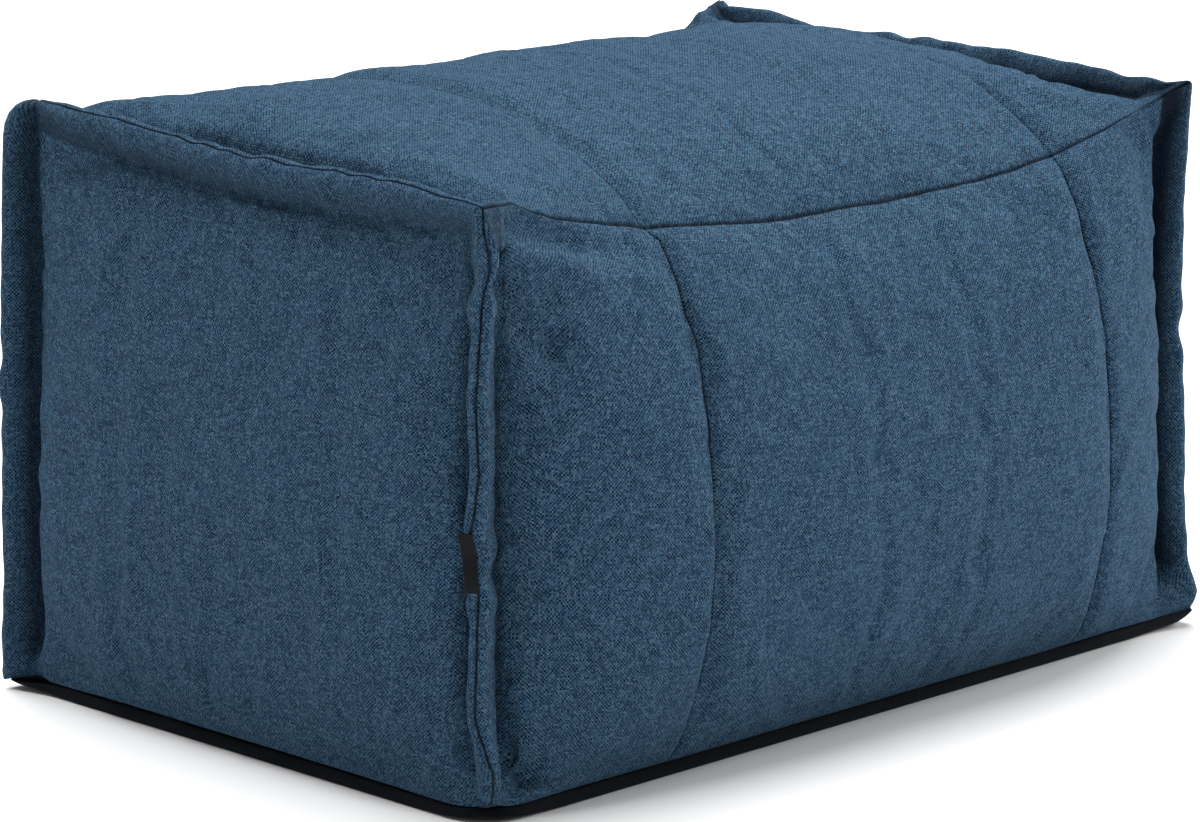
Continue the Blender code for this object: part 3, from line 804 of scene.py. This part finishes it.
def cover_coordinates(grid, flange):
    """Cloth coordinates of the cover with a flange of so many rings at both ends."""
    band = cloth_coordinates(grid[flange:len(grid) - flange])
    up = np.where(ROW_FACE == BACK, -1, 1)
    parts = []
    for end, layer, root in ((-1, grid[flange::-1], band[0]), (1, grid[len(grid) - flange - 1:], band[-1])):
        across, along = flange_coordinates(layer)
        parts.append(root + np.stack([end * across, up * along], axis=-1))
    return np.concatenate([parts[0][:0:-1], band, parts[1][1:]])


def border_of(grid):
    """Values along the front, top and back edges of an end panel's grid, one for each row."""
    return np.concatenate([grid[:, 0], grid[-1, 1:-1], grid[::-1, -1]])


def end_coordinates(panel, layer):
    """Cloth coordinates of an end panel and of its flange."""
    cloth = cloth_coordinates(panel)
    across, along = flange_coordinates(layer)
    side = np.where(ROW_FACE == FRONT, -1, 1)
    moves = np.stack([np.where(ON_TOP, across, along), np.where(ON_TOP, along, side * across)], axis=-1)
    return cloth, border_of(cloth) + moves


def fold_depth(places, folds):
    """Depth that the listed folds add at each place."""
    depth = np.zeros(places.shape[:-1])
    for start, end, width, deepest in folds:
        start, line = np.array(start) / 1000, (np.array(end) - start) / 1000
        share = np.clip((places - start) @ line / (line @ line), 0, 1)
        distance = np.linalg.norm(places - start - share[..., None] * line, axis=-1)
        depth += deepest / 1000 * np.exp(-(distance / (width / 1000)) ** 2)
    return depth


def grid_faces(rows, columns, first, flip=False):
    k = first + np.arange(rows * columns).reshape(rows, columns)
    quads = np.stack([k[:-1, :-1], k[1:, :-1], k[1:, 1:], k[:-1, 1:]], axis=-1).reshape(-1, 4)
    return quads[:, ::-1] if flip else quads


def added(name, data):
    """A new object in the scene."""
    item = bpy.data.objects.new(name, data)
    bpy.context.scene.collection.objects.link(item)
    return item


class Builder:
    """Collects grids into one mesh with the cloth's own coordinates and its painted shade of seams and
    grooves.
    """

    def __init__(self):
        self.places, self.cloth, self.shadow, self.faces = [], [], [], []
        self.count = 0

    def grid(self, grid, cloth=None, shadow=None, flip=False):
        rows, columns = grid.shape[:2]
        self.faces.append(grid_faces(rows, columns, self.count, flip))
        self.places.append(grid.reshape(-1, 3))
        self.cloth.append((cloth_coordinates(grid) if cloth is None else cloth).reshape(-1, 2))
        self.shadow.append((np.zeros((rows, columns)) if shadow is None else shadow).reshape(-1))
        self.count += rows * columns

    def finish(self, name, material):
        mesh = bpy.data.meshes.new(name)
        mesh.from_pydata(np.concatenate(self.places).tolist(), [], np.concatenate(self.faces).tolist())
        cloth = np.pad(np.concatenate(self.cloth), ((0, 0), (0, 1)))
        for key, kind, part, values in (("cloth", "FLOAT_VECTOR", "vector", cloth),
                                        ("seam_shadow", "FLOAT", "value", np.concatenate(self.shadow))):
            layer = mesh.attributes.new(key, kind, "POINT")
            layer.data.foreach_set(part, values.astype(np.float32).ravel())
        mesh.materials.append(material)
        shape = bmesh.new()
        shape.from_mesh(mesh)
        bmesh.ops.remove_doubles(shape, verts=shape.verts, dist=WELD_DISTANCE)
        bmesh.ops.recalc_face_normals(shape, faces=shape.faces)
        shape.to_mesh(mesh)
        shape.free()
        mesh.shade_smooth()
        return added(name, mesh)


def groove(distance):
    """Depth of a sewn seam at a distance from its line: a narrow groove between rounded shoulders."""
    narrow = GROOVE_DEPTH * np.exp(-(distance / GROOVE_HALF_WIDTH) ** 2)
    return narrow + SHOULDER_DEPTH * np.exp(-distance / SHOULDER_WIDTH)


# Painted shadow of a sewn seam at a distance from its line
def seam_shadow(distance):
    return np.exp(-(distance / SEAM_SHADOW_WIDTH) ** 2)


def cloth_waves(places, seed):
    return waves_in_space(BROAD_WAVE, places, seed) + waves_in_space(SMALL_WAVE, places, seed + 1)


def puckers(kind, distance, place, seed):
    """Small gathers that run out from a groove or a seam."""
    *wave, reach, start = kind
    return ripple(wave, place, seed) * np.exp(-distance / reach) * smooth(distance / start)


def flange_feet(builder, outer, lining):
    """Close the two feet of a flange layer between its outside, from root to tip, and its lining."""
    inner = np.concatenate([lining[::-1], outer[-1:]])
    shares = np.linspace(0, len(inner) - 1, len(outer))
    for row in (0, -1):
        builder.grid(np.stack([outer[:, row], along_line(shares, np.arange(len(inner)), inner[:, row])]))


# ----- Cloth simulation: the cover fills out under pressure between its seams -----
def thinned(places, stops, step):
    """Indices of places about a step apart that include the stops."""
    chosen = []
    for first, last in zip(stops, stops[1:]):
        count = max(round((places[last] - places[first]) / step), 1)
        wanted = np.linspace(places[first], places[last], count + 1)
        chosen.extend(first + np.abs(places[first:last + 1] - wanted[:, None]).argmin(axis=1))
    return np.unique(chosen)


def spread(values, known, places):
    """Smooth values at places along the first axis from values at known places."""
    slopes = np.gradient(values, known, axis=0)
    k = np.clip(np.searchsorted(known, places, side="right") - 1, 0, len(known) - 2)
    span = (known[k + 1] - known[k])[:, None, None]
    t = (places[:, None, None] - known[k][:, None, None]) / span
    return ((1 + 2 * t) * (1 - t) ** 2 * values[k] + t * (1 - t) ** 2 * span * slopes[k]
            + t * t * (3 - 2 * t) * values[k + 1] + t * t * (t - 1) * span * slopes[k + 1])


def fine_part(moves, passes):
    """Moves without their broad part, which the driving dimensions already hold."""
    broad = moves
    for _ in range(2 * passes):
        padded = np.concatenate([broad[:1], broad, broad[-1:]])
        broad = ((padded[:-2] + 2 * broad + padded[2:]) / 4).transpose(1, 0, 2)
    return moves - broad


def on_fine_grid(moves, known_first, first, known_second, second):
    """Capped moves of a coarse grid, spread smoothly over the fine one."""
    size = np.linalg.norm(moves, axis=-1, keepdims=True)
    moves = moves * CLOTH_CAP / np.maximum(size, CLOTH_CAP)
    moves = spread(moves, known_first, first)
    return spread(moves.transpose(1, 0, 2), known_second, second).transpose(1, 0, 2)


def inflated(grids):
    """Positions of the points of grids that share their edges after a cloth simulation with pressure.

    Each grid comes with the share by which each of its points is held, and by which it is gathered."""
    mesh = bpy.data.meshes.new("trial_cloth")
    shape = bmesh.new()
    places, held, gathered = (np.vstack([part.reshape(-1, size) for part in parts])
                              for parts, size in zip(zip(*grids), (3, 1, 1)))
    _, first, back = np.unique(np.round(places, 5), axis=0, return_index=True, return_inverse=True)
    back = back.reshape(-1)
    vertices = [shape.verts.new(places[k]) for k in first]
    start = 0
    for grid, _, _ in grids:
        for quad in grid_faces(*grid.shape[:2], start):
            corners = list(dict.fromkeys(back[quad].tolist()))
            if len(corners) > 2:
                shape.faces.new([vertices[k] for k in corners])
        start += grid.shape[0] * grid.shape[1]
    bmesh.ops.recalc_face_normals(shape, faces=shape.faces)
    shape.to_mesh(mesh)
    shape.free()
    trial = added("trial_cloth", mesh)
    for name, values in (("held", held), ("gathered", gathered)):
        group = trial.vertex_groups.new(name=name)
        strongest = np.zeros(len(first))
        np.maximum.at(strongest, back, values[:, 0])
        for k, value in enumerate(strongest):
            group.add([k], float(value), "REPLACE")
    cloth = trial.modifiers.new("cloth", "CLOTH")
    for key, value in {
            "use_pressure": True, "uniform_pressure_force": CLOTH_PRESSURE, "mass": CLOTH_MASS,
            "vertex_group_mass": "held", "vertex_group_shrink": "gathered", "shrink_min": -CLOTH_EXTRA,
            "shrink_max": SEAM_GATHER, "quality": CLOTH_QUALITY,
            "bending_stiffness": CLOTH_BENDING}.items():
        setattr(cloth.settings, key, value)
    cloth.settings.effector_weights.gravity = 0
    cloth.collision_settings.use_collision = False
    cloth.point_cache.frame_end = CLOTH_FRAMES
    scene = bpy.context.scene
    for step in range(1, CLOTH_FRAMES + 1):
        scene.frame_set(step)
    result = trial.evaluated_get(bpy.context.evaluated_depsgraph_get()).data
    moved = np.empty(len(first) * 3, np.float32)
    result.vertices.foreach_get("co", moved)
    moved = moved.reshape(-1, 3)[back]
    scene.frame_set(1)
    bpy.data.objects.remove(trial)
    bpy.data.meshes.remove(mesh)
    sizes = [grid.shape[0] * grid.shape[1] for grid, _, _ in grids]
    parts = np.split(moved, np.cumsum(sizes)[:-1])
    return [part.reshape(grid.shape) for part, (grid, _, _) in zip(parts, grids)]


def filled_out():
    """How far the cloth of the band and of both end panels moves as it fills out."""
    band = cover_band(flange_layer(-1, 1)[0], flange_layer(1, 1)[0])
    seam_columns = [int(np.abs(ALONG * ROOT_X - seam).argmin()) for seam in SEAMS_X]
    columns = thinned(ALONG * ROOT_X, [0, *seam_columns, len(ALONG) - 1], CLOTH_STEP)
    rows = thinned(ROW_PLACE, [0, *EDGE_ROWS, len(ROW_FACE) - 1], CLOTH_STEP)
    coarse = band[np.ix_(columns, rows)]
    sewn = np.isin(columns, seam_columns)[:, None] | np.isin(rows, EDGE_ROWS)
    pins, seams = np.where(sewn, SEAM_HOLD, CLOTH_HOLD), np.where(sewn, 1.0, 0.0)
    pins[[0, -1]] = seams[[0, -1]] = 1
    pins[:, [0, -1]] = 1
    grids = [(coarse, pins, seams)]
    up_rows = rows[rows <= EDGE_ROWS[0]]
    across_rows = rows[(rows >= EDGE_ROWS[0]) & (rows <= EDGE_ROWS[1])]
    for end, column in ((-1, 0), (1, -1)):
        panel = end_grid(end, band[column])[np.ix_(up_rows, across_rows - EDGE_ROWS[0])]
        border = np.ones(panel.shape[:2])
        border[1:-1, 1:-1] = 0
        grids.append((panel, np.maximum(border, CLOTH_HOLD), border))
    floor, whole = coarse[:, [0, -1]].transpose(1, 0, 2), np.ones((2, len(coarse)))
    grids.append((floor, whole, whole))
    band_moves, *end_moves = (fine_part(after - before, CLOTH_BROAD)
                              for after, (before, _, _) in zip(inflated(grids)[:3], grids))
    out = [on_fine_grid(band_moves, ALONG[columns] * ROOT_X, ALONG * ROOT_X, ROW_PLACE[rows], ROW_PLACE)]
    for moves in end_moves:
        out.append(on_fine_grid(moves, ROW_PLACE[up_rows], UP * CORNER_HEIGHT,
                                ROW_PLACE[across_rows], ROW_PLACE[TOP_ROWS]))
    return out


# ----- Pieces -----
def build_cushion_cover(material, moves):
    layers = {end: flange_layer(end, 1) for end in (-1, 1)}
    flange = len(layers[1]) - 1
    band = cover_band(layers[-1][0], layers[1][0]) + moves
    grid = np.concatenate([layers[-1][:0:-1], band, layers[1][1:]])
    root = len(grid) - 1 - flange
    radii = row_rounding(GROOVE_ROUNDING, TOP_GROOVE_ROUNDING, EAR_ROUNDING)
    for end, bent in ((-1, flange), (1, root)):
        share, out = web_reach(end)
        width = lengths_along(layers[end])[-1] - TIP_MARGIN
        before, after = (np.maximum(radii, share * reach) for reach in (width, out)[::-end])
        grid = rounded(grid, bent, before, after, smooth(share / WEB_FADE))
    cloth = cover_coordinates(grid, flange)
    x = np.pad(ALONG * ROOT_X, flange, constant_values=(-OFF_BAND, OFF_BAND))[:, None]
    across_seams = seam_distance(x)
    from_root = np.clip(ROOT_X - np.abs(x), 0, None)
    on_band = smooth(from_root / WAVE_FADE)
    depth = groove(across_seams) + groove(ROW_EDGE) - on_band * cloth_waves(grid, 11)
    depth = depth + fold_depth(grid, COVER_FOLDS) * smooth(from_root / FOLD_FADE)
    for side in (-1, 1):
        depth = depth + puckers(FLANGE_PUCKER, from_root, ROW_PLACE, 21 + 3 * side) * (np.sign(x) == side)
    depth = depth + puckers(SEAM_PUCKER, across_seams, ROW_PLACE, 31)
    depth = depth + puckers(SEAM_PUCKER, ROW_EDGE, x, 37) * on_band
    depth = depth * smooth(ROW_HEIGHT / WAVE_FADE)
    # Painted shadow along the seams, wider near the ears
    widened = 1 + EAR_SEAM_WIDENING * faded(from_root, EAR_SEAM_REACH)
    shadow = np.maximum(seam_shadow(across_seams), seam_shadow(ROW_EDGE / widened))
    grid = grid - surface_normals(grid) * depth[..., None]
    outwards = {-1: slice(flange, None, -1), 1: slice(root, None)}
    # Painted shade in the grooves on both sides of each flange's root, and painted shadow along the seam at
    # its tip
    for end, part in outwards.items():
        shade = groove_shade(end, lengths_along(grid[part]), FLANGE_SHADE_REACH)
        shade[:-4:-1] = np.maximum(shade[:-4:-1], np.array(TIP_SHADE)[:, None])
        shadow[part] = np.maximum(shadow[part], shade)
        distance = ROOT_X - end * x
        shadow = np.maximum(shadow, (distance >= 0) * groove_shade(end, distance, PANEL_SHADE_REACH))
    builder = Builder()
    builder.grid(grid, cloth, shadow)
    linings = {end: flange_lining(end, 1) for end in (-1, 1)}
    half = len(ROW_FACE) // 2
    for end, part in outwards.items():
        lining = linings[end]
        flange_feet(builder, grid[part], lining)
        builder.grid(np.concatenate([grid[part][-1:], lining]), flip=end < 0)
        builder.grid(np.stack([lining[-1][:half], lining[-1][:-half - 1:-1]]), flip=end < 0)
    builder.grid(np.stack([
        np.vstack([linings[-1][-1][row], grid[flange:root + 1, row], linings[1][-1][row]])
        for row in (0, -1)]), flip=True)
    return builder.finish("cushion_cover", material)


def build_end_panel(name, end, material, folds, moves):
    layer = flange_layer(end, -1)
    panel = end_grid(end, layer[0]) + moves
    flange = len(layer) - 1
    at_side, at_top = by_row(end, "end_bends")
    radii = row_rounding(GROOVE_ROUNDING, END_TOP_ROUNDING, np.where(ON_TOP, at_top, at_side))
    lines = np.concatenate([layer[:0:-1, FRONT_ROWS], panel.transpose(1, 0, 2), layer[1:, BACK_ROWS]])
    for root in (flange, len(lines) - 1 - flange):
        lines = rounded(lines, root, radii[FRONT_ROWS], radii[FRONT_ROWS])
    layer[:0:-1, FRONT_ROWS], layer[1:, BACK_ROWS] = lines[:flange], lines[-flange:]
    panel = lines[flange:-flange].transpose(1, 0, 2)
    lines = np.concatenate([panel, layer[1:, TOP_ROWS]])
    lines = rounded(lines, len(panel) - 1, radii[TOP_ROWS], radii[TOP_ROWS])
    panel, layer[1:, TOP_ROWS] = lines[:len(panel)], lines[len(panel):]
    across, up = np.meshgrid(ACROSS * ROOT_Y, UP * CORNER_HEIGHT)
    from_side, from_top = ROOT_Y - np.abs(across), CORNER_HEIGHT - up
    depth = fold_depth(panel, folds) - cloth_waves(panel, 17 + end)
    depth = depth + puckers(FLANGE_PUCKER, from_side, up + np.sign(across), 41 + end)
    depth = depth + END_TOP_PUCKER * puckers(FLANGE_PUCKER, from_top, across, 47 + end)
    depth = depth * smooth(np.minimum(from_side, from_top) / WAVE_FADE) * smooth(up / WAVE_FADE)
    cloth, border = end_coordinates(panel, layer)
    panel = panel + surface_normals(panel) * end * depth[..., None]
    layer[0] = border_of(panel)
    # Painted shade in the groove beside the flange, on the panel's side
    shade = groove_shade(end, 0, 1)
    side_shade = np.where(across < 0, shade[FRONT_ROWS][:, None], shade[BACK_ROWS][:, None])
    shadow = np.maximum(side_shade * faded(from_side, PANEL_SHADE_REACH),
                        shade[TOP_ROWS] * faded(from_top, PANEL_SHADE_REACH))
    builder = Builder()
    builder.grid(panel, cloth, shadow, flip=end > 0)
    # Painted shade on the flange near its root, and painted shadow along the seam at its tip
    shadow = groove_shade(end, lengths_along(layer), FLANGE_SHADE_REACH)
    shadow[:-4:-1] = np.maximum(shadow[:-4:-1], np.array(TIP_SHADE)[:, None])
    builder.grid(layer, border, shadow, flip=end < 0)
    lining = flange_lining(end, -1)
    builder.grid(np.concatenate([layer[-1:], lining]), flip=end < 0)
    inner = panel + surface_normals(panel) * end * SHEET_THICKNESS
    inner = drawn_to(inner, lining[-1], SHEET_FADE)
    builder.grid(inner, flip=end < 0)
    builder.grid(np.stack([panel[0], inner[0]]), flip=end < 0)
    flange_feet(builder, layer, lining)
    return builder.finish(name, material)


def base_ring(depth, height, wave=0.0):
    """Outline of the base panel, moved inwards by a depth, at a height that wanders a little."""
    size = np.array([HALF_LENGTH, HALF_DEPTH])
    arcs = []
    for quarter, corner in enumerate(((1, 1), (-1, 1), (-1, -1), (1, -1))):
        radius = CORNERS[corner].base[0]
        turns = np.linspace(quarter, quarter + 1, ARC_POINTS) * pi / 2
        arcs.append(np.array(corner) * (size - radius)
                    + (radius - depth) * np.stack([np.cos(turns), np.sin(turns)], axis=-1))
    shares = np.linspace(0, 1, SIDE_POINTS)[:-1, None]
    ring = [part for arc, following in zip(arcs, arcs[1:] + arcs[:1])
            for part in (arc[:-1], mix(arc[-1], following[0], shares))]
    ring = np.vstack([*ring, arcs[0][:1]])
    place = lengths_along(ring)
    turn = 2 * pi * place / place[-1]
    swell = wave * (np.sin(round(place[-1] / BASE_WAVE_LENGTH) * turn) + np.sin(14 * turn + 1)) / 2
    for corner, values in CORNERS.items():
        _, reach, lift, sink = values.base
        away = np.linalg.norm(ring - np.array(corner) * size * BASE_EAR_PLACE, axis=1)
        near = faded(away, BASE_EAR_WIDTH)
        ring = ring + np.array(corner) / sqrt(2) * (reach * height / BASE_TOP * near)[:, None]
        swell = swell + lift * (1 - height / BASE_TOP) * faded(away, BASE_LIFT_WIDTH) - sink * height * near
    return points(ring[:, 0], ring[:, 1], height + swell)


def build_base(material):
    outer, inner = base_ring(*BASE_UNDERSIDE), base_ring(*BASE_INSIDE)
    rings = [outer * (share, share, 1) for share in BASE_SHARES]
    rings += [base_ring(*ring) for ring in BASE_RINGS]
    rings += [inner * (share, share, 1) for share in (1, *BASE_SHARES[::-1])]
    builder = Builder()
    builder.grid(np.array(rings))
    return builder.finish("base_cloth", material)


def build_tab(material):
    """A folded strip of ribbon that stands out of the flange seam at the near left corner."""
    tip = flange_rings(-1, -1, [(FLANGE_WIDTH, 0.0)])[0]
    _, outs, _ = flange_frame(-1)
    front = ROW_FACE == FRONT
    rows = []
    for height in np.linspace(-TAB_HEIGHT / 2, TAB_HEIGHT / 2, TAB_ROWS):
        z = TAB_CENTRE_HEIGHT + height
        seat, out = (along_line(z, tip[front, 2], line[front]) for line in (tip, outs))
        aside = np.array([out[1], -out[0], 0])
        sway = TAB_SWAY[1] * sin(height * TAB_SWAY_RATE) + TAB_SWAY[0]
        rows.append([seat + aside * across + out * (lift + sway * (across / TAB_WIDTH) ** 2 + TAB_STAND_OFF)
                     for across, lift in spline(TAB_SECTION, TAB_POINTS) / 1000])
    builder = Builder()
    builder.grid(np.array(rows))
    return builder.finish("tab_ribbon", material)


# ----- Materials -----
# Woven cloth: how far the threads waver, in threads, and the scales of that; how slowly a yarn changes its
# tone along its length; the flecks; the palest crossings; how far the gaps between threads, and the painted
# shade of seams, flange tips and grooves, take the gap's colour; and the surface
WAVER = 1.2
WAVER_SCALES = (45.0, 210.0)
FINE_WAVER = 0.45
YARN_LENGTH = 0.11
YARN_STEPS = (7.31, 5.77)
FLECK_SCALE = 520.0
FLECK_ROUGHNESS = 0.7
FLECK_TONE = 0.6
FLECK_RELIEF = 0.35
PALE_YARN = (0.15, 0.25, 0.34, 1)
PALE_FROM = 0.6
GAP_SHARE = 0.60
SHADOW_SHARE = 0.92
BUMP_STRENGTH = 0.8
SPECULAR = 0.08
SHEEN_ROUGHNESS = 0.5
SHEEN_TINT = (0.45, 0.62, 0.80, 1)


class Nodes:
    """Short names for adding and linking shader nodes."""

    def __init__(self, material):
        material.use_nodes = True
        self.tree = material.node_tree
        self.shader = self.tree.nodes["Principled BSDF"]

    def add(self, kind, inputs=(), **settings):
        node = self.tree.nodes.new(kind)
        for key, value in settings.items():
            setattr(node, key, value)
        for key, value in dict(inputs).items():
            self.put(value, node.inputs[key])
        return node

    def put(self, value, socket):
        if isinstance(value, bpy.types.NodeSocket):
            self.tree.links.new(value, socket)
        else:
            socket.default_value = value

    def shade(self, **values):
        """Set the shader's own sockets, named with underscores for spaces."""
        for key, value in values.items():
            self.put(value, self.shader.inputs[key.replace("_", " ")])

    def math(self, operation, *values):
        node = self.add("ShaderNodeMath", operation=operation)
        for value, socket in zip(values, node.inputs):
            self.put(value, socket)
        return node.outputs[0]

    def vector(self, x, y):
        return self.add("ShaderNodeCombineXYZ", {"X": x, "Y": y}).outputs[0]

    def noise(self, vector, scale, detail=2.0, roughness=0.5):
        return self.add("ShaderNodeTexNoise", {
            "Vector": vector, "Scale": scale, "Detail": detail, "Roughness": roughness}).outputs["Fac"]

    def stretched(self, value, low, high, top=1.0):
        return self.add("ShaderNodeMapRange", {
            "Value": value, "From Min": low, "From Max": high, "To Max": top}).outputs[0]

    def blend(self, factor, first, second):
        node = self.add("ShaderNodeMix", data_type="RGBA")
        for value, socket in ((factor, 0), (first, 6), (second, 7)):
            self.put(value, node.inputs[socket])
        return node.outputs[2]


def woven_cloth(name, light, dark, gap_colour, pitch, bump, contrast, weave, speck, roughness, sheen):
    """Plain weave of mixed yarns, laid out by the cloth's own coordinates."""
    material = bpy.data.materials.new(name)
    n = Nodes(material)
    math = n.math
    cloth = n.add("ShaderNodeAttribute", attribute_name="cloth").outputs["Vector"]
    parts = n.add("ShaderNodeSeparateXYZ", {"Vector": cloth}).outputs
    broad, fine = (n.noise(cloth, scale) for scale in WAVER_SCALES)
    waver = math("MULTIPLY", math("ADD", broad, math("MULTIPLY", fine, FINE_WAVER)), WAVER)
    u, v = (math("ADD", math("DIVIDE", parts[axis], pitch), waver) for axis in ("X", "Y"))
    over = math("MULTIPLY", *(math("SINE", math("MULTIPLY", line, pi)) for line in (u, v)))
    dome = math("POWER", math("ABSOLUTE", over), 0.5)
    floor_u, floor_v = math("FLOOR", u), math("FLOOR", v)
    warp = n.noise(n.vector(math("MULTIPLY", floor_u, YARN_STEPS[0]), math("MULTIPLY", v, YARN_LENGTH)), 1.0)
    weft = n.noise(n.vector(math("MULTIPLY", u, YARN_LENGTH), math("MULTIPLY", floor_v, YARN_STEPS[1])), 1.0)
    which = math("GREATER_THAN", over, 0.0)
    yarn = math("ADD", math("MULTIPLY", which, warp), math("MULTIPLY", math("SUBTRACT", 1.0, which), weft))
    fleck = n.noise(cloth, FLECK_SCALE, detail=3.0, roughness=FLECK_ROUGHNESS)
    tone = math("ADD", yarn, math("MULTIPLY", math("SUBTRACT", fleck, 0.5), FLECK_TONE))
    tone = math("ADD", tone, math("MULTIPLY", math("SUBTRACT", which, 0.5), weave))
    colour = n.blend(n.stretched(tone, 0.5 - contrast, 0.5 + contrast), dark, light)
    crossing = n.vector(floor_u, floor_v)
    chance = n.add("ShaderNodeTexWhiteNoise", {"Vector": crossing}, noise_dimensions="2D").outputs["Value"]
    colour = n.blend(n.stretched(chance, PALE_FROM, 1.0, speck), colour, PALE_YARN)
    gap = math("POWER", math("SUBTRACT", 1.0, dome), 2.0)
    colour = n.blend(math("MULTIPLY", gap, GAP_SHARE), colour, gap_colour)
    # Painted shade: the seam_shadow attribute takes seams, flange tips and grooves towards the gap's colour
    shadow = n.add("ShaderNodeAttribute", attribute_name="seam_shadow").outputs["Fac"]
    colour = n.blend(math("MULTIPLY", shadow, SHADOW_SHARE), colour, gap_colour)
    height = math("ADD", dome, math("MULTIPLY", fleck, FLECK_RELIEF))
    bumped = n.add("ShaderNodeBump", {"Height": height, "Strength": BUMP_STRENGTH, "Distance": bump})
    n.shade(Base_Color=colour, Normal=bumped.outputs["Normal"], Roughness=roughness,
            Specular_IOR_Level=SPECULAR, Sheen_Weight=sheen, Sheen_Roughness=SHEEN_ROUGHNESS,
            Sheen_Tint=SHEEN_TINT)
    return material


# ----- Stage, lights and camera -----
CAMERA_AZIMUTH = radians(-44.98)
CAMERA_ELEVATION = radians(13.17)
CAMERA_DISTANCE = 3.843
CAMERA_TARGET = Vector((-0.0149, 0.0, 0.1798))
CAMERA_LENS = 165.2
SENSOR_WIDTH = 36.0
WORLD_STRENGTH = 0.25
LIGHT_TARGET = Vector((0, 0, 0.2))
FLOOR_HALF = 60.0
FLOOR_COLOUR = (0.83, 0.83, 0.83, 1)


def direction(azimuth, elevation):
    """Unit vector from the object to a place seen at an azimuth and an elevation."""
    return Vector((sin(azimuth) * cos(elevation), -cos(azimuth) * cos(elevation), sin(elevation)))


def aimed(item, back):
    item.rotation_mode = "QUATERNION"
    item.rotation_quaternion = (-back).to_track_quat("-Z", "Y")


def make_camera():
    data = bpy.data.cameras.new("camera")
    data.lens = CAMERA_LENS
    data.sensor_width = SENSOR_WIDTH
    camera = added("camera", data)
    back = direction(CAMERA_AZIMUTH, CAMERA_ELEVATION)
    camera.location = CAMERA_TARGET + back * CAMERA_DISTANCE
    aimed(camera, back)
    bpy.context.scene.camera = camera


def make_light(kind, name, azimuth, elevation, power, distance=0.0, **settings):
    data = bpy.data.lights.new(name, kind)
    data.energy = power
    for key, value in settings.items():
        setattr(data, key, value)
    light = added(name, data)
    back = direction(radians(azimuth), radians(elevation))
    light.location = LIGHT_TARGET + back * distance
    aimed(light, back)


def make_stage():
    mesh = bpy.data.meshes.new("floor")
    corners = [(x * FLOOR_HALF, y * FLOOR_HALF, 0) for x, y in ((-1, -1), (1, -1), (1, 1), (-1, 1))]
    mesh.from_pydata(corners, [], [(0, 1, 2, 3)])
    floor = added("floor", mesh)
    paint = bpy.data.materials.new("floor_paint")
    Nodes(paint).shade(Base_Color=FLOOR_COLOUR, Roughness=0.9)
    mesh.materials.append(paint)
    world = bpy.data.worlds.new("studio")
    world.use_nodes = True
    light = world.node_tree.nodes["Background"]
    light.inputs["Color"].default_value = (1, 1, 1, 1)
    light.inputs["Strength"].default_value = WORLD_STRENGTH
    bpy.context.scene.world = world


# ----- The footstool -----
blue = woven_cloth(
    "blue_cloth", (0.044, 0.107, 0.185, 1), (0.000, 0.007, 0.021, 1), (0.001, 0.003, 0.008, 1),
    pitch=0.00128, bump=0.0004, contrast=0.25, weave=0.32, speck=0.38, roughness=0.92, sheen=0.04)
black = woven_cloth(
    "black_cloth", (0.007, 0.008, 0.011, 1), (0.002, 0.002, 0.003, 1), (0.001, 0.001, 0.001, 1),
    pitch=0.0008, bump=0.0002, contrast=0.3, weave=0.2, speck=0.0, roughness=0.92, sheen=0.04)
ribbon = woven_cloth(
    "black_ribbon", (0.009, 0.009, 0.011, 1), (0.004, 0.004, 0.005, 1), (0.002, 0.002, 0.002, 1),
    pitch=0.0005, bump=0.0001, contrast=0.3, weave=0.4, speck=0.0, roughness=0.55, sheen=0.10)

band_moves, left_moves, right_moves = filled_out()
cover = build_cushion_cover(blue, band_moves)
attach(cover, "root")
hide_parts("filled_body")

for side_name, end, folds, moves in (
        ("left", -1, LEFT_END_FOLDS, left_moves), ("right", 1, RIGHT_END_FOLDS, right_moves)):
    panel = build_end_panel("end_cloth_" + side_name, end, blue, folds, moves)
    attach(panel, "root")
    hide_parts("end_panel_" + side_name)

base = build_base(black)
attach(base, "root")
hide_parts("base_panel")

tab = build_tab(ribbon)
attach(tab, "root")
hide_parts("side_tab")

make_stage()
make_camera()
make_light("SUN", "overhead", azimuth=165, elevation=74, power=5.6, angle=radians(55))
make_light("AREA", "right", azimuth=60, elevation=22, power=94, distance=3.5, shape="DISK", size=2.4)
make_light("AREA", "left", azimuth=-150, elevation=22, power=2, distance=3.5, shape="DISK", size=2.4)
bpy.context.scene.view_settings.view_transform = "Standard"
